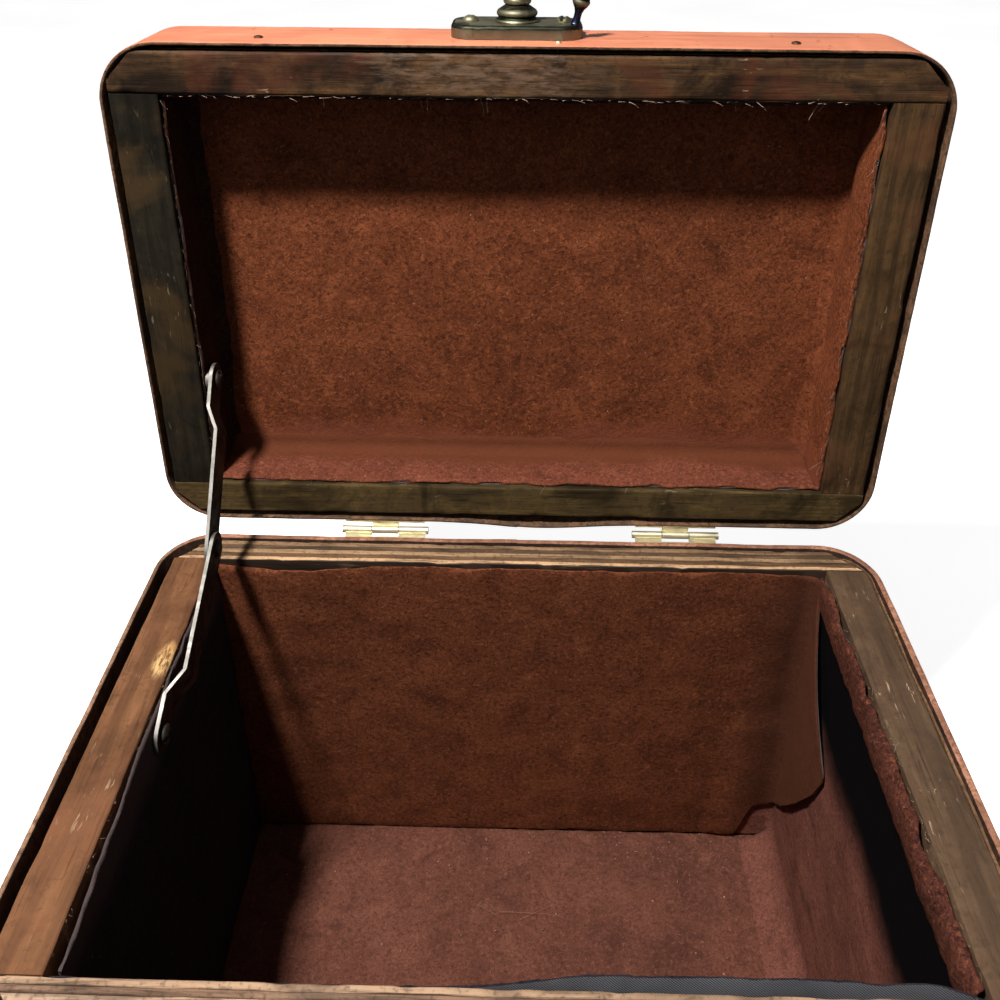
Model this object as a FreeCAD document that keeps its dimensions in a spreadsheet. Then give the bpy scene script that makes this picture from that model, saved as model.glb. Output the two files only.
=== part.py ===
import FreeCAD, Part
import Sketcher
import os
import re

# A small lidded box: a butted wooden frame inside a woven cane skin, held by bent
# bands, lined with felt.  The lid stands open on two back hinges and one folding stay.
#
# Frame of the part: X to the right, Y to the back, Z up.  The origin is the centre of
# the underside.  Lengths in mm, angles in degrees.
#
# Lid pieces are drawn in the lid's own frame: the hinge pin is its origin and the lid
# lies shut in it.  They are then turned up about the pin by lid_open.

doc = FreeCAD.newDocument("storage_box")
os.makedirs("parts", exist_ok=True)

SIZES = [
    # the whole box
    ("box_width", 270.0, "outside width over the bands"),
    ("box_depth", 180.0, "outside depth over the bands"),
    ("rim_height", 164.0, "hinge pin and parting plane above the base"),
    ("rim_gap", 0.15, "rim and lid edge each stop this short of the parting plane"),
    ("corner_round", 20.0, "outside radius of the bands at the corners"),
    ("fit_gap", 0.02, "radial room of nails and screws in their holes"),
    ("run_gap", 0.05, "radial room of turning fits"),
    ("side_gap", 0.3, "room between faces that pass each other"),
    ("overrun", 1.0, "length by which cutters pass the cut piece"),
    # skin and bands
    ("band_thick", 2.2, "bent band"),
    ("cane_thick", 1.6, "woven cane skin on the walls"),
    ("rim_band_tall", 24.0, "band round the rim of the body"),
    ("base_band_tall", 22.0, "band round the foot of the body"),
    ("cane_sink", 4.0, "cane stops this far below the edge that the band covers"),
    ("cane_rise", 2.0, "cane starts this far above the base"),
    # body frame
    ("ply_front", 9.7, "front board"),
    ("ply_back", 10.9, "back board"),
    ("side_board", 14.9, "left and right boards"),
    ("air_left", 2.0, "air between left board and cane"),
    ("air_right", 0.8, "air between right board and cane"),
    ("corner_cut", 9.0, "chamfer of the front and back boards at the corners"),
    ("trim_room", 0.1, "room between boards and cane"),
    ("floor_thick", 7.5, "bottom board"),
    # lining
    ("felt_thick", 1.5, "felt lining"),
    ("felt_drop", 2.0, "lining stops this far below the rim"),
    # lid
    ("lid_tall", 32.4, "outside height of the lid"),
    ("lid_open", 92.3, "angle by which the lid stands open"),
    ("pin_out", 3.6, "hinge pin behind the back faces"),
    ("lid_skin", 1.9, "woven sheet on top of the lid"),
    ("lid_board", 4.0, "lid top board"),
    ("lid_ply_front", 11.4, "lid front rail"),
    ("lid_ply_back", 13.0, "lid back rail"),
    ("lid_side", 14.1, "lid side rails"),
    ("lid_air_front", 1.0, "air between lid front rail and cane"),
    ("lid_air_left", 1.0, "air between lid left rail and cane"),
    ("lid_air_right", 2.2, "air between lid right rail and cane"),
    ("lid_corner_cut", 7.0, "chamfer of the lid rails at the corners"),
    # hinges
    ("hinge_long", 31.0, "length of one hinge"),
    ("hinge_in_left", 83.5, "middle of the left hinge from the left face"),
    ("hinge_in_right", 73.5, "middle of the right hinge from the right face"),
    ("leaf_thick", 0.8, "hinge leaf"),
    ("leaf_tall", 13.0, "reach of a leaf from the pin"),
    ("leaf_lip", 1.0, "distance from the pin to the folded lip"),
    ("barrel_radius", 1.4, "hinge knuckle"),
    ("pin_radius", 0.7, "hinge pin"),
    ("pin_head", 1.2, "button on each end of the hinge pin"),
    ("leaf_screw_out", 9.5, "leaf screws from the hinge middle"),
    ("leaf_screw_drop", 8.0, "leaf screws from the pin"),
    # screws and nails
    ("screw_head", 1.9, "radius of a leaf screw head"),
    ("screw_rise", 0.8, "height of a leaf screw head"),
    ("screw_shank", 0.9, "radius of a leaf screw shank"),
    ("screw_deep", 9.0, "length of a leaf screw shank"),
    ("head_top_share", 0.6, "top radius of a screw or rivet head over its foot radius"),
    ("nail_head", 1.5, "radius of a band nail head"),
    ("nail_rise", 0.6, "height of a band nail head"),
    ("nail_shank", 0.6, "radius of a band nail shank"),
    ("nail_deep", 10.0, "length of a band nail shank"),
    ("nail_in_wide", 50.5, "front and back nails from the side faces"),
    ("nail_in_deep", 42.0, "side nails from the front and back faces"),
    ("rim_nail_drop", 12.0, "rim band nails below the rim"),
    ("lid_nail_up", 10.0, "lid band nails above the lid edge"),
    ("small_nail_x", 10.0, "place of the small nail beside the clasp"),
    ("small_nail_radius", 1.0, "radius of the small nail head"),
    ("small_nail_up", 6.0, "small nail above the lid edge"),
    # stay
    ("arm_wide", 12.0, "stay arm strip"),
    ("arm_thick", 1.2, "stay arm strip"),
    ("lower_arm", 63.7, "lower arm between its pivots"),
    ("upper_arm", 61.2, "upper arm between its pivots"),
    ("lower_pivot_in", 87.1, "lower pivot in front of the back face"),
    ("lower_pivot_drop", 10.0, "lower pivot below the rim"),
    ("upper_pivot_out", 63.0, "upper pivot from the hinge pin along the lid"),
    ("upper_pivot_up", 5.0, "upper pivot from the lid edge into the recess"),
    ("lower_joggle", 4.8, "sideways step of the lower arm"),
    ("flat_eye", 11.0, "flat length of an eye before the joggle"),
    ("joggle_long", 8.0, "length of the joggle"),
    ("pivot_radius", 2.0, "pivot screws and knee rivet"),
    ("pivot_head", 3.4, "radius of a pivot screw head"),
    ("pivot_rise", 1.6, "height of a pivot screw head"),
    ("pivot_deep", 9.0, "depth of a pivot screw in the wall"),
    ("rivet_head", 3.6, "radius of the knee rivet head"),
    ("rivet_rise", 1.2, "height of the knee rivet head"),
    # clasp
    ("plate_wide", 42.0, "clasp plate"),
    ("plate_tall", 21.6, "clasp plate"),
    ("plate_thick", 4.1, "clasp plate"),
    ("plate_corner", 7.0, "corner radius of the clasp plate"),
    ("plate_bevel", 1.2, "edge round of the clasp plate"),
    ("plate_x", -3.0, "middle of the plate from the middle of the lid"),
    ("plate_up", 20.6, "middle of the plate above the lid edge"),
    ("plate_screw_out", 15.0, "plate screws from the plate middle"),
    ("plate_screw_head", 2.7, "radius of a plate screw head"),
    ("plate_screw_rise", 1.9, "height of a plate screw head"),
    ("foot_radius", 6.7, "post foot on the plate"),
    ("neck_radius", 4.3, "post neck"),
    ("foot_rise", 5.0, "height of the post foot"),
    ("post_bore", 1.6, "spindle of the turning knob"),
    ("knob_neck", 8.0, "length of the neck of the turning knob"),
    ("knob_head", 6.5, "radius of the knob head"),
    ("knob_head_rise", 8.0, "height of the knob head"),
    ("knob_flat", 3.2, "half thickness of the flattened knob head"),
    ("lever_out", 18.4, "thumb lever from the plate middle"),
    ("lever_drop", 6.4, "thumb lever below the plate middle"),
    ("lever_lean", 13.0, "lean of the thumb lever to the right"),
    ("lever_stem", 1.3, "radius of the thumb lever stem"),
    ("lever_collar", 2.6, "radius of the thumb lever where it flares"),
    ("lever_stem_long", 7.0, "length of the stem above the plate"),
    ("lever_head_long", 7.0, "length of the flared head"),
    ("lever_flat", 1.6, "half thickness of the flattened lever head"),
    ("lever_deep", 2.4, "depth of the lever spindle in the plate"),
]

sheet = doc.addObject("Spreadsheet::Sheet", "Sizes")
for row, (alias, amount, note) in enumerate(SIZES, 1):
    sheet.set("A%d" % row, alias)
    sheet.set("B%d" % row, str(amount))
    sheet.set("C%d" % row, note)
    sheet.setAlias("B%d" % row, alias)
doc.recompute()
ALIASES = {row[0] for row in SIZES}

SAME_PLACE = 1e-6  # coordinates nearer than this are equal

# Sizes that follow from the sheet.
DERIVED = {
    "wide2": "box_width / 2",
    "deep2": "box_depth / 2",
    "skin": "(band_thick + cane_thick)",
    # outer faces of the body frame and of the lid frame
    "frame_left": "(air_left + skin - wide2)",
    "frame_right": "(wide2 - skin - air_right)",
    "frame_front": "(skin - deep2)",
    "frame_back": "(deep2 - skin)",
    "room_left": "(frame_left + side_board)",
    "room_right": "(frame_right - side_board)",
    "room_front": "(frame_front + ply_front)",
    "room_back": "(frame_back - ply_back)",
    "rim_top": "(rim_height - rim_gap)",
    "felt_top": "(rim_top - felt_drop)",
    "felt_floor": "(floor_thick + felt_thick)",
    # lid frame, measured from the hinge pin with the lid shut
    "pin_y": "(deep2 + pin_out)",
    "lid_mid": "(0 - pin_y)",
    "lid_left": "(lid_air_left + skin - wide2)",
    "lid_right": "(wide2 - skin - lid_air_right)",
    "lid_front": "(lid_mid - deep2 + skin + lid_air_front)",
    "lid_back": "(lid_mid + deep2 - skin)",
    "lid_face": "(lid_mid - deep2)",
    "well_left": "(lid_left + lid_side)",
    "well_right": "(lid_right - lid_side)",
    "well_front": "(lid_front + lid_ply_front)",
    "well_back": "(lid_back - lid_ply_back)",
    "lid_frame_top": "(lid_tall - lid_skin)",
    "lid_well_top": "(lid_frame_top - lid_board)",
    "lid_felt_top": "(lid_well_top - felt_thick)",
    "lid_edge": "rim_gap",
    "hinge_left": "(hinge_in_left - wide2)",
    "hinge_right": "(wide2 - hinge_in_right)",
    # stay: pivots in the plane of the stay, and the angles of its two arms
    "lower_pivot_y": "(deep2 - lower_pivot_in)",
    "lower_z": "(rim_height - lower_pivot_drop)",
    "up_y": "(pin_y - upper_pivot_out * cos(lid_open) + upper_pivot_up * sin(lid_open))",
    "up_z": "(rim_height + upper_pivot_out * sin(lid_open) + upper_pivot_up * cos(lid_open))",
    "span_y": "(up_y - lower_pivot_y)",
    "span_z": "(up_z - lower_z)",
    "span": "sqrt(span_y ^ 2 + span_z ^ 2)",
    "lower_fold": "acos((lower_arm ^ 2 + span ^ 2 - upper_arm ^ 2) / (2 * lower_arm * span))",
    "upper_fold": "acos((upper_arm ^ 2 + span ^ 2 - lower_arm ^ 2) / (2 * upper_arm * span))",
    "lower_angle": "(atan(span_z / span_y) - lower_fold)",
    "upper_angle": "(atan(span_z / span_y) + upper_fold)",
    "lower_eye_x": "(room_left + felt_thick + side_gap)",
    "lower_arm_x": "(lower_eye_x + lower_joggle)",
    "upper_eye_x": "lower_eye_x",
    "upper_arm_x": "(lower_arm_x - side_gap - arm_thick)",
    "upper_joggle": "(upper_arm_x - upper_eye_x)",
    # clasp, on the front face of the lid band
    "plate_face": "(lid_face - plate_thick)",
}


def expand(text):
    """Write an expression in sheet cells only."""
    def swap(match):
        word = match.group(0)
        if word in DERIVED:
            return "(" + expand(DERIVED[word]) + ")"
        if word in ALIASES:
            return "Sizes." + word
        return word
    return re.sub(r"[a-z_][a-z_0-9]*", swap, text)


def value(text):
    """Number that an expression has now."""
    probe = doc.getObject("Probe") or doc.addObject("App::FeaturePython", "Probe")
    if "Number" not in probe.PropertiesList:
        probe.addProperty("App::PropertyFloat", "Number")
    probe.setExpression("Number", expand(text))
    probe.recompute()
    return probe.Number


def bind(obj, prop, text):
    obj.setExpression(prop, expand(text))


def place(obj, x="0", y="0", z="0"):
    for axis, text in zip("xyz", (x, y, z)):
        bind(obj, "Placement.Base." + axis, text)
    return obj


TURNS = {
    "+x": FreeCAD.Rotation(FreeCAD.Vector(0, 1, 0), 90),
    "-x": FreeCAD.Rotation(FreeCAD.Vector(0, 1, 0), -90),
    "+y": FreeCAD.Rotation(FreeCAD.Vector(1, 0, 0), -90),
    "-y": FreeCAD.Rotation(FreeCAD.Vector(1, 0, 0), 90),
    "+z": FreeCAD.Rotation(),
}


def block(name, x0, x1, y0, y1, z0, z1):
    """Box between two corners."""
    obj = doc.addObject("Part::Box", name)
    bind(obj, "Length", "(%s) - (%s)" % (x1, x0))
    bind(obj, "Width", "(%s) - (%s)" % (y1, y0))
    bind(obj, "Height", "(%s) - (%s)" % (z1, z0))
    return place(obj, x0, y0, z0)


def rod(name, radius, height, x, y, z, way):
    """Cylinder from a point along one of the axes."""
    obj = doc.addObject("Part::Cylinder", name)
    bind(obj, "Radius", radius)
    bind(obj, "Height", height)
    obj.Placement.Rotation = TURNS[way]
    return place(obj, x, y, z)


def taper(name, radius1, radius2, height, x, y, z, way):
    """Cone frustum from a point along one of the axes."""
    obj = doc.addObject("Part::Cone", name)
    bind(obj, "Radius1", radius1)
    bind(obj, "Radius2", radius2)
    bind(obj, "Height", height)
    obj.Placement.Rotation = TURNS[way]
    return place(obj, x, y, z)


def fuse(name, *pieces):
    obj = doc.addObject("Part::MultiFuse", name)
    obj.Shapes = list(pieces)
    return obj


def cut(name, base, *tools):
    for step, tool in enumerate(tools):
        last = step == len(tools) - 1
        obj = doc.addObject("Part::Cut", name if last else "%s_step%d" % (name, step))
        obj.Base = base
        obj.Tool = tool
        base = obj
    return base


def common(name, base, tool):
    obj = doc.addObject("Part::Common", name)
    obj.Base = base
    obj.Tool = tool
    return obj


def group(name, pieces):
    obj = doc.addObject("Part::Compound", name)
    obj.Links = list(pieces)
    return obj


def plane(body, role):
    return [f for f in body.Origin.OriginFeatures if f.Role == role][0]


def pad_rectangle(name, x0, x1, y0, y1, z0, z1):
    """PartDesign body: a rectangle between two corners, padded between two heights."""
    body = doc.addObject("PartDesign::Body", name)
    sketch = body.newObject("Sketcher::SketchObject", name + "_outline")
    sketch.AttachmentSupport = [(plane(body, "XY_Plane"), "")]
    sketch.MapMode = "FlatFace"
    lo = FreeCAD.Vector(value(x0), value(y0), 0)
    hi = FreeCAD.Vector(value(x1), value(y1), 0)
    corners = [lo, FreeCAD.Vector(hi.x, lo.y, 0), hi, FreeCAD.Vector(lo.x, hi.y, 0)]
    for k in range(4):
        sketch.addGeometry(Part.LineSegment(corners[k], corners[(k + 1) % 4]), False)
    for k in range(4):
        sketch.addConstraint(Sketcher.Constraint("Coincident", k, 2, (k + 1) % 4, 1))
    for k, kind in enumerate(("Horizontal", "Vertical", "Horizontal", "Vertical")):
        sketch.addConstraint(Sketcher.Constraint(kind, k))
    places = [("DistanceX", 0, 1, x0), ("DistanceX", 2, 1, x1),
              ("DistanceY", 0, 1, y0), ("DistanceY", 2, 1, y1)]
    for kind, line, point, text in places:
        index = sketch.addConstraint(Sketcher.Constraint(kind, -1, 1, line, point, value(text)))
        sketch.setExpression("Constraints[%d]" % index, expand(text))
    bind(sketch, "AttachmentOffset.Base.z", z0)
    pad = body.newObject("PartDesign::Pad", name + "_pad")
    pad.Profile = sketch
    bind(pad, "Length", "(%s) - (%s)" % (z1, z0))
    sketch.Visibility = False
    doc.recompute()
    return body


def upright_edges(shape, chosen):
    """Names of the vertical edges whose place passes the test."""
    names = []
    for k, edge in enumerate(shape.Edges, 1):
        a, b = (v.Point for v in edge.Vertexes)
        if abs(a.x - b.x) < SAME_PLACE and abs(a.y - b.y) < SAME_PLACE and chosen(a):
            names.append("Edge%d" % k)
    return names


def dress(body, kind, size_prop, size, chosen=lambda p: True):
    """Round or chamfer vertical edges of a padded rectangle."""
    tip = body.Tip
    feature = body.newObject("PartDesign::" + kind, "%s_%s" % (body.Name, kind.lower()))
    feature.Base = (tip, upright_edges(tip.Shape, chosen))
    bind(feature, size_prop, size)
    body.Tip = feature
    doc.recompute()
    return body


def rounded_block(name, inset, z0, z1, y_mid="0"):
    """Block of the box's plan, its faces set in from the outside by inset."""
    body = pad_rectangle(name, "(%s) - wide2" % inset, "wide2 - (%s)" % inset,
                         "%s - deep2 + (%s)" % (y_mid, inset), "%s + deep2 - (%s)" % (y_mid, inset),
                         z0, z1)
    return dress(body, "Fillet", "Radius", "corner_round - (%s)" % inset)


def ring(name, inset, thick, z0, z1, y_mid="0"):
    """Hoop of the box's plan: outer face at inset, inner face at inset + thick."""
    outer = rounded_block(name + "_outer", inset, z0, z1, y_mid)
    inner = rounded_block(name + "_inner", "%s + %s" % (inset, thick),
                          "%s - overrun" % z0, "%s + overrun" % z1, y_mid)
    return cut(name, outer, inner)


def end_board(name, x0, x1, y0, y1, z0, z1, chamfer, at_front):
    """Full-width board whose two outer upright edges are chamfered."""
    body = pad_rectangle(name, x0, x1, y0, y1, z0, z1)
    limit = value(y0) if at_front else value(y1)
    near = value("trim_room")
    return dress(body, "Chamfer", "Size", chamfer, lambda p: abs(p.y - limit) < near)


nodes = {}


def keep(node, obj, on_lid=False):
    """Name a finished sub-part; a lid piece is turned up about the hinge pin."""
    obj.Label = node
    if on_lid:
        obj.Placement = FreeCAD.Placement(
            FreeCAD.Vector(0, 0, 0), FreeCAD.Rotation(FreeCAD.Vector(-1, 0, 0), value("lid_open")))
        bind(obj, "Placement.Rotation.Angle", "lid_open")
        place(obj, "0", "pin_y", "rim_height")
    nodes[node] = obj
    return obj


# Fasteners of the bands and hinges.
def nail(name, x, y, z, way, radius="nail_head"):
    """Flat-headed nail; x, y, z is where its head sits, way is the way it is driven."""
    back = {"+x": "-x", "-x": "+x", "+y": "-y", "-y": "+y"}[way]
    head = rod(name + "_head", radius, "nail_rise", x, y, z, back)
    shank = rod(name + "_shank", "nail_shank", "nail_deep", x, y, z, way)
    return fuse(name, head, shank)


def nail_hole(name, x, y, z, way):
    return rod(name, "nail_shank + fit_gap", "nail_deep + fit_gap", x, y, z, way)


def band_places(z, y_mid="0"):
    """Two nails on each face of a band."""
    places = []
    for sign in ("-", "+"):
        x = "%s (wide2 - nail_in_wide)" % sign
        y = "%s %s (deep2 - nail_in_deep)" % (y_mid, sign)
        places.append((x, y_mid + " - deep2", z, "+y"))
        places.append((x, y_mid + " + deep2", z, "-y"))
        places.append(("0 - wide2", y, z, "+x"))
        places.append(("wide2", y, z, "-x"))
    return places


def nail_set(name, places):
    nails = [nail("%s_%d" % (name, k), *p) for k, p in enumerate(places)]
    holes = [nail_hole("%s_hole_%d" % (name, k), *p) for k, p in enumerate(places)]
    return group(name, nails), group(name + "_holes", holes)


rim_nails, rim_nail_holes = nail_set("rim_band_nails", band_places("rim_height - rim_nail_drop"))
base_nails, base_nail_holes = nail_set("base_band_nails", band_places("base_band_tall / 2"))
lid_places = band_places("lid_nail_up", "lid_mid")
lid_nails, lid_nail_holes = nail_set("lid_band_nails", lid_places)


def screw(name, head, rise, shank, deep, x, y, z, way):
    """Round-headed screw; its head sits at x, y, z."""
    back = {"+x": "-x", "-x": "+x", "+y": "-y", "-y": "+y"}[way]
    top = taper(name + "_head", head, "(%s) * head_top_share" % head, rise, x, y, z, back)
    body = rod(name + "_shank", shank, deep, x, y, z, way)
    return fuse(name, top, body)


LEAVES = [(hinge, side) for hinge in ("hinge_left", "hinge_right") for side in ("-", "+")]


def leaf_screw_set(name, y, z):
    """Two screws in each leaf, driven forwards through the leaf."""
    spots = [("%s %s leaf_screw_out" % spot, y, z, "-y") for spot in LEAVES]
    screws = [screw("%s_%d" % (name, k), "screw_head", "screw_rise", "screw_shank",
                    "screw_deep", *p) for k, p in enumerate(spots)]
    holes = [rod("%s_hole_%d" % (name, k), "screw_shank + fit_gap", "screw_deep + fit_gap", *p)
             for k, p in enumerate(spots)]
    return group(name, screws), group(name + "_holes", holes)


body_screws, body_screw_holes = leaf_screw_set(
    "hinge_screws_lower", "deep2 + leaf_thick", "rim_height - leaf_screw_drop")
lid_screws, lid_screw_holes = leaf_screw_set(
    "hinge_screws_upper", "leaf_thick - pin_out", "leaf_screw_drop")
keep("rim_band_nails", rim_nails)
keep("base_band_nails", base_nails)
keep("hinge_screws_lower", body_screws)

lower_pivot_hole = rod("lower_pivot_hole", "pivot_radius + fit_gap", "pivot_deep + fit_gap",
                       "lower_eye_x", "lower_pivot_y", "lower_z", "-x")

# Frame of the body.
trim = rounded_block("frame_trim", "skin + trim_room", "0", "rim_height")
front_raw = end_board("front_raw", "frame_left", "frame_right", "frame_front", "room_front",
                      "0", "rim_top", "corner_cut", True)
back_raw = end_board("back_raw", "frame_left", "frame_right", "room_back", "frame_back",
                     "0", "rim_top", "corner_cut", False)
front_fit = common("front_fit", front_raw, trim)
back_fit = common("back_fit", back_raw, trim)
keep("front_board", cut("front_cut", front_fit, rim_nail_holes, base_nail_holes))
keep("back_board", cut("back_cut", back_fit, rim_nail_holes, base_nail_holes, body_screw_holes))
left_raw = block("left_raw", "frame_left", "room_left", "room_front", "room_back",
                 "0", "rim_top")
right_raw = block("right_raw", "room_right", "frame_right", "room_front", "room_back",
                  "0", "rim_top")
left_fit = common("left_fit", left_raw, trim)
right_fit = common("right_fit", right_raw, trim)
keep("left_board", cut("left_cut", left_fit, rim_nail_holes, base_nail_holes, lower_pivot_hole))
keep("right_board", cut("right_cut", right_fit, rim_nail_holes, base_nail_holes))
keep("bottom_board", block("bottom_raw", "room_left", "room_right", "room_front", "room_back",
                           "0", "floor_thick"))

# Cane skin and bands of the body.
cane_raw = ring("cane_raw", "band_thick", "cane_thick", "cane_rise", "rim_top - cane_sink")
keep("cane_skin", cut("cane_cut", cane_raw, rim_nail_holes, base_nail_holes, body_screw_holes))
rim_raw = ring("rim_raw", "0", "band_thick", "rim_top - rim_band_tall", "rim_top")
keep("rim_band", cut("rim_cut", rim_raw, rim_nail_holes, body_screw_holes))
base_raw = ring("base_raw", "0", "band_thick", "0", "base_band_tall")
keep("base_band", cut("base_cut", base_raw, base_nail_holes))

# Felt lining of the body.
keep("floor_lining", block("floor_felt", "room_left", "room_right", "room_front", "room_back",
                           "floor_thick", "felt_floor"))
keep("back_lining", block("back_felt", "room_left", "room_right", "room_back - felt_thick",
                          "room_back", "felt_floor", "felt_top"))
keep("front_lining", block("front_felt", "room_left", "room_right", "room_front",
                           "room_front + felt_thick", "felt_floor", "felt_top"))
left_felt = block("left_felt", "room_left", "room_left + felt_thick", "room_front + felt_thick",
                  "room_back - felt_thick", "felt_floor", "felt_top")
keep("left_lining", cut("left_felt_cut", left_felt, lower_pivot_hole))
keep("right_lining", block("right_felt", "room_right - felt_thick", "room_right",
                           "room_front + felt_thick", "room_back - felt_thick",
                           "felt_floor", "felt_top"))


# Hinges.
def knuckles(name, hinge, outer):
    """x ranges of a leaf's knuckles: the body leaf has the outer two, the lid leaf one."""
    third = "(hinge_long - 2 * side_gap) / 3"
    start = "%s - hinge_long / 2" % hinge
    if outer:
        return [(start, "%s + %s" % (start, third)),
                ("%s + hinge_long - %s" % (start, third), "%s + hinge_long" % start)]
    return [("%s + %s + side_gap" % (start, third),
             "%s + 2 * %s + side_gap" % (start, third))]


def leaf(name, hinge, y, z, up, outer, holes):
    """Leaf on the back face, its lips folded out to knuckles round the pin at y, z."""
    near = "%s %s leaf_lip" % (z, up)
    lip_far = "%s %s (leaf_lip + leaf_thick)" % (z, up)
    far = "%s %s leaf_tall" % (z, up)
    lower, upper = (near, far) if up == "+" else (far, near)
    lip = (near, lip_far) if up == "+" else (lip_far, near)
    left = "%s - hinge_long / 2" % hinge
    face = "%s - pin_out" % y
    pieces = [block(name + "_plate", left, left + " + hinge_long", face,
                    face + " + leaf_thick", lower, upper)]
    for k, (x0, x1) in enumerate(knuckles(name, hinge, outer)):
        pieces.append(block("%s_lip%d" % (name, k), x0, x1, face, y, lip[0], lip[1]))
        pieces.append(rod("%s_barrel%d" % (name, k), "barrel_radius", "(%s) - (%s)" % (x1, x0),
                          x0, y, z, "+x"))
    play = "0" if outer else "run_gap"
    bore = rod(name + "_bore", "pin_radius + " + play, "hinge_long + 2 * overrun",
               left + " - overrun", y, z, "+x")
    return cut(name, fuse(name + "_raw", *pieces), bore, holes)


for side, hinge in (("left", "hinge_left"), ("right", "hinge_right")):
    keep("hinge_leaf_lower_" + side, leaf("lower_leaf_" + side, hinge, "pin_y", "rim_height",
                                          "-", True, body_screw_holes))
    keep("hinge_leaf_upper_" + side, leaf("upper_leaf_" + side, hinge, "0", "0",
                                          "+", False, lid_screw_holes), True)
    shaft = rod("shaft_" + side, "pin_radius", "hinge_long", hinge + " - hinge_long / 2",
                "pin_y", "rim_height", "+x")
    caps = [rod("cap_%s_%d" % (side, k), "barrel_radius", "pin_head", at, "pin_y",
                "rim_height", way)
            for k, (at, way) in enumerate(((hinge + " - hinge_long / 2", "-x"),
                                           (hinge + " + hinge_long / 2", "+x")))]
    keep("hinge_pin_" + side, fuse("pin_" + side, shaft, *caps))

# Frame of the lid.
upper_pivot_y = "0 - upper_pivot_out"
upper_pivot_hole = rod("upper_pivot_hole", "pivot_radius + fit_gap", "pivot_deep + fit_gap",
                       "upper_eye_x", upper_pivot_y, "upper_pivot_up", "-x")
clasp_at = ("plate_x", "lid_face", "plate_up")


def on_plate(dx, dz="0"):
    return ("plate_x + (%s)" % dx, "lid_face", "plate_up + (%s)" % dz)


plate_spots = [on_plate("%s plate_screw_out" % sign) for sign in ("0 -", "")]
plate_holes = group("plate_screw_holes", [
    rod("plate_screw_hole_%d" % k, "screw_shank + fit_gap", "plate_thick + screw_deep + fit_gap",
        x, "plate_face", z, "+y") for k, (x, y, z) in enumerate(plate_spots)])
small_spot = ("small_nail_x", "lid_face", "small_nail_up", "+y")
small_hole = nail_hole("small_nail_hole", *small_spot)

lid_trim = rounded_block("lid_trim", "skin + trim_room", "0", "lid_tall", "lid_mid")
lid_front_raw = end_board("lid_front_raw", "lid_left", "lid_right", "lid_front", "well_front",
                          "lid_edge", "lid_frame_top", "lid_corner_cut", True)
lid_back_raw = end_board("lid_back_raw", "lid_left", "lid_right", "well_back", "lid_back",
                         "lid_edge", "lid_frame_top", "lid_corner_cut", False)
lid_front_fit = common("lid_front_fit", lid_front_raw, lid_trim)
lid_back_fit = common("lid_back_fit", lid_back_raw, lid_trim)
keep("lid_front_rail", cut("lid_front_cut", lid_front_fit, lid_nail_holes, plate_holes,
                           small_hole), True)
keep("lid_back_rail", cut("lid_back_cut", lid_back_fit, lid_nail_holes, lid_screw_holes), True)
lid_left_raw = block("lid_left_raw", "lid_left", "well_left", "well_front", "well_back",
                     "lid_edge", "lid_frame_top")
lid_right_raw = block("lid_right_raw", "well_right", "lid_right", "well_front", "well_back",
                      "lid_edge", "lid_frame_top")
lid_left_fit = common("lid_left_fit", lid_left_raw, lid_trim)
lid_right_fit = common("lid_right_fit", lid_right_raw, lid_trim)
keep("lid_left_rail", cut("lid_left_cut", lid_left_fit, lid_nail_holes, upper_pivot_hole), True)
keep("lid_right_rail", cut("lid_right_cut", lid_right_fit, lid_nail_holes), True)
keep("lid_top_board", pad_rectangle("lid_top_raw", "well_left", "well_right", "well_front",
                                    "well_back", "lid_well_top", "lid_frame_top"), True)

# Cane skin and band of the lid.
skin_outer = rounded_block("skin_outer", "band_thick", "lid_edge + cane_sink", "lid_tall",
                           "lid_mid")
skin_inner = rounded_block("skin_inner", "skin", "lid_edge + cane_sink - overrun",
                           "lid_frame_top", "lid_mid")
keep("lid_cane_skin", cut("lid_cane_cut", skin_outer, skin_inner, lid_nail_holes,
                          lid_screw_holes, plate_holes, small_hole), True)
lid_band_raw = ring("lid_band_raw", "0", "band_thick", "lid_edge", "lid_tall", "lid_mid")
keep("lid_band", cut("lid_band_cut", lid_band_raw, lid_nail_holes, lid_screw_holes,
                     plate_holes, small_hole), True)
keep("lid_band_nails", lid_nails, True)
keep("lid_small_nail", nail("small_nail", *small_spot, "small_nail_radius"), True)
keep("hinge_screws_upper", lid_screws, True)

# Felt lining of the lid.
lid_felt_edge = "(lid_edge + felt_drop)"
keep("lid_top_lining", pad_rectangle("lid_top_felt", "well_left", "well_right", "well_front",
                                     "well_back", "lid_felt_top", "lid_well_top"), True)
keep("lid_back_lining", pad_rectangle("lid_back_felt", "well_left", "well_right",
                                      "well_back - felt_thick", "well_back", lid_felt_edge,
                                      "lid_felt_top"), True)
keep("lid_front_lining", pad_rectangle("lid_front_felt", "well_left", "well_right",
                                       "well_front", "well_front + felt_thick",
                                       lid_felt_edge, "lid_felt_top"), True)
lid_left_felt = block("lid_left_felt", "well_left", "well_left + felt_thick",
                      "well_front + felt_thick", "well_back - felt_thick", lid_felt_edge,
                      "lid_felt_top")
keep("lid_left_lining", cut("lid_left_felt_cut", lid_left_felt, upper_pivot_hole), True)
keep("lid_right_lining", pad_rectangle("lid_right_felt", "well_right - felt_thick",
                                       "well_right", "well_front + felt_thick",
                                       "well_back - felt_thick", lid_felt_edge,
                                       "lid_felt_top"), True)


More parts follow.
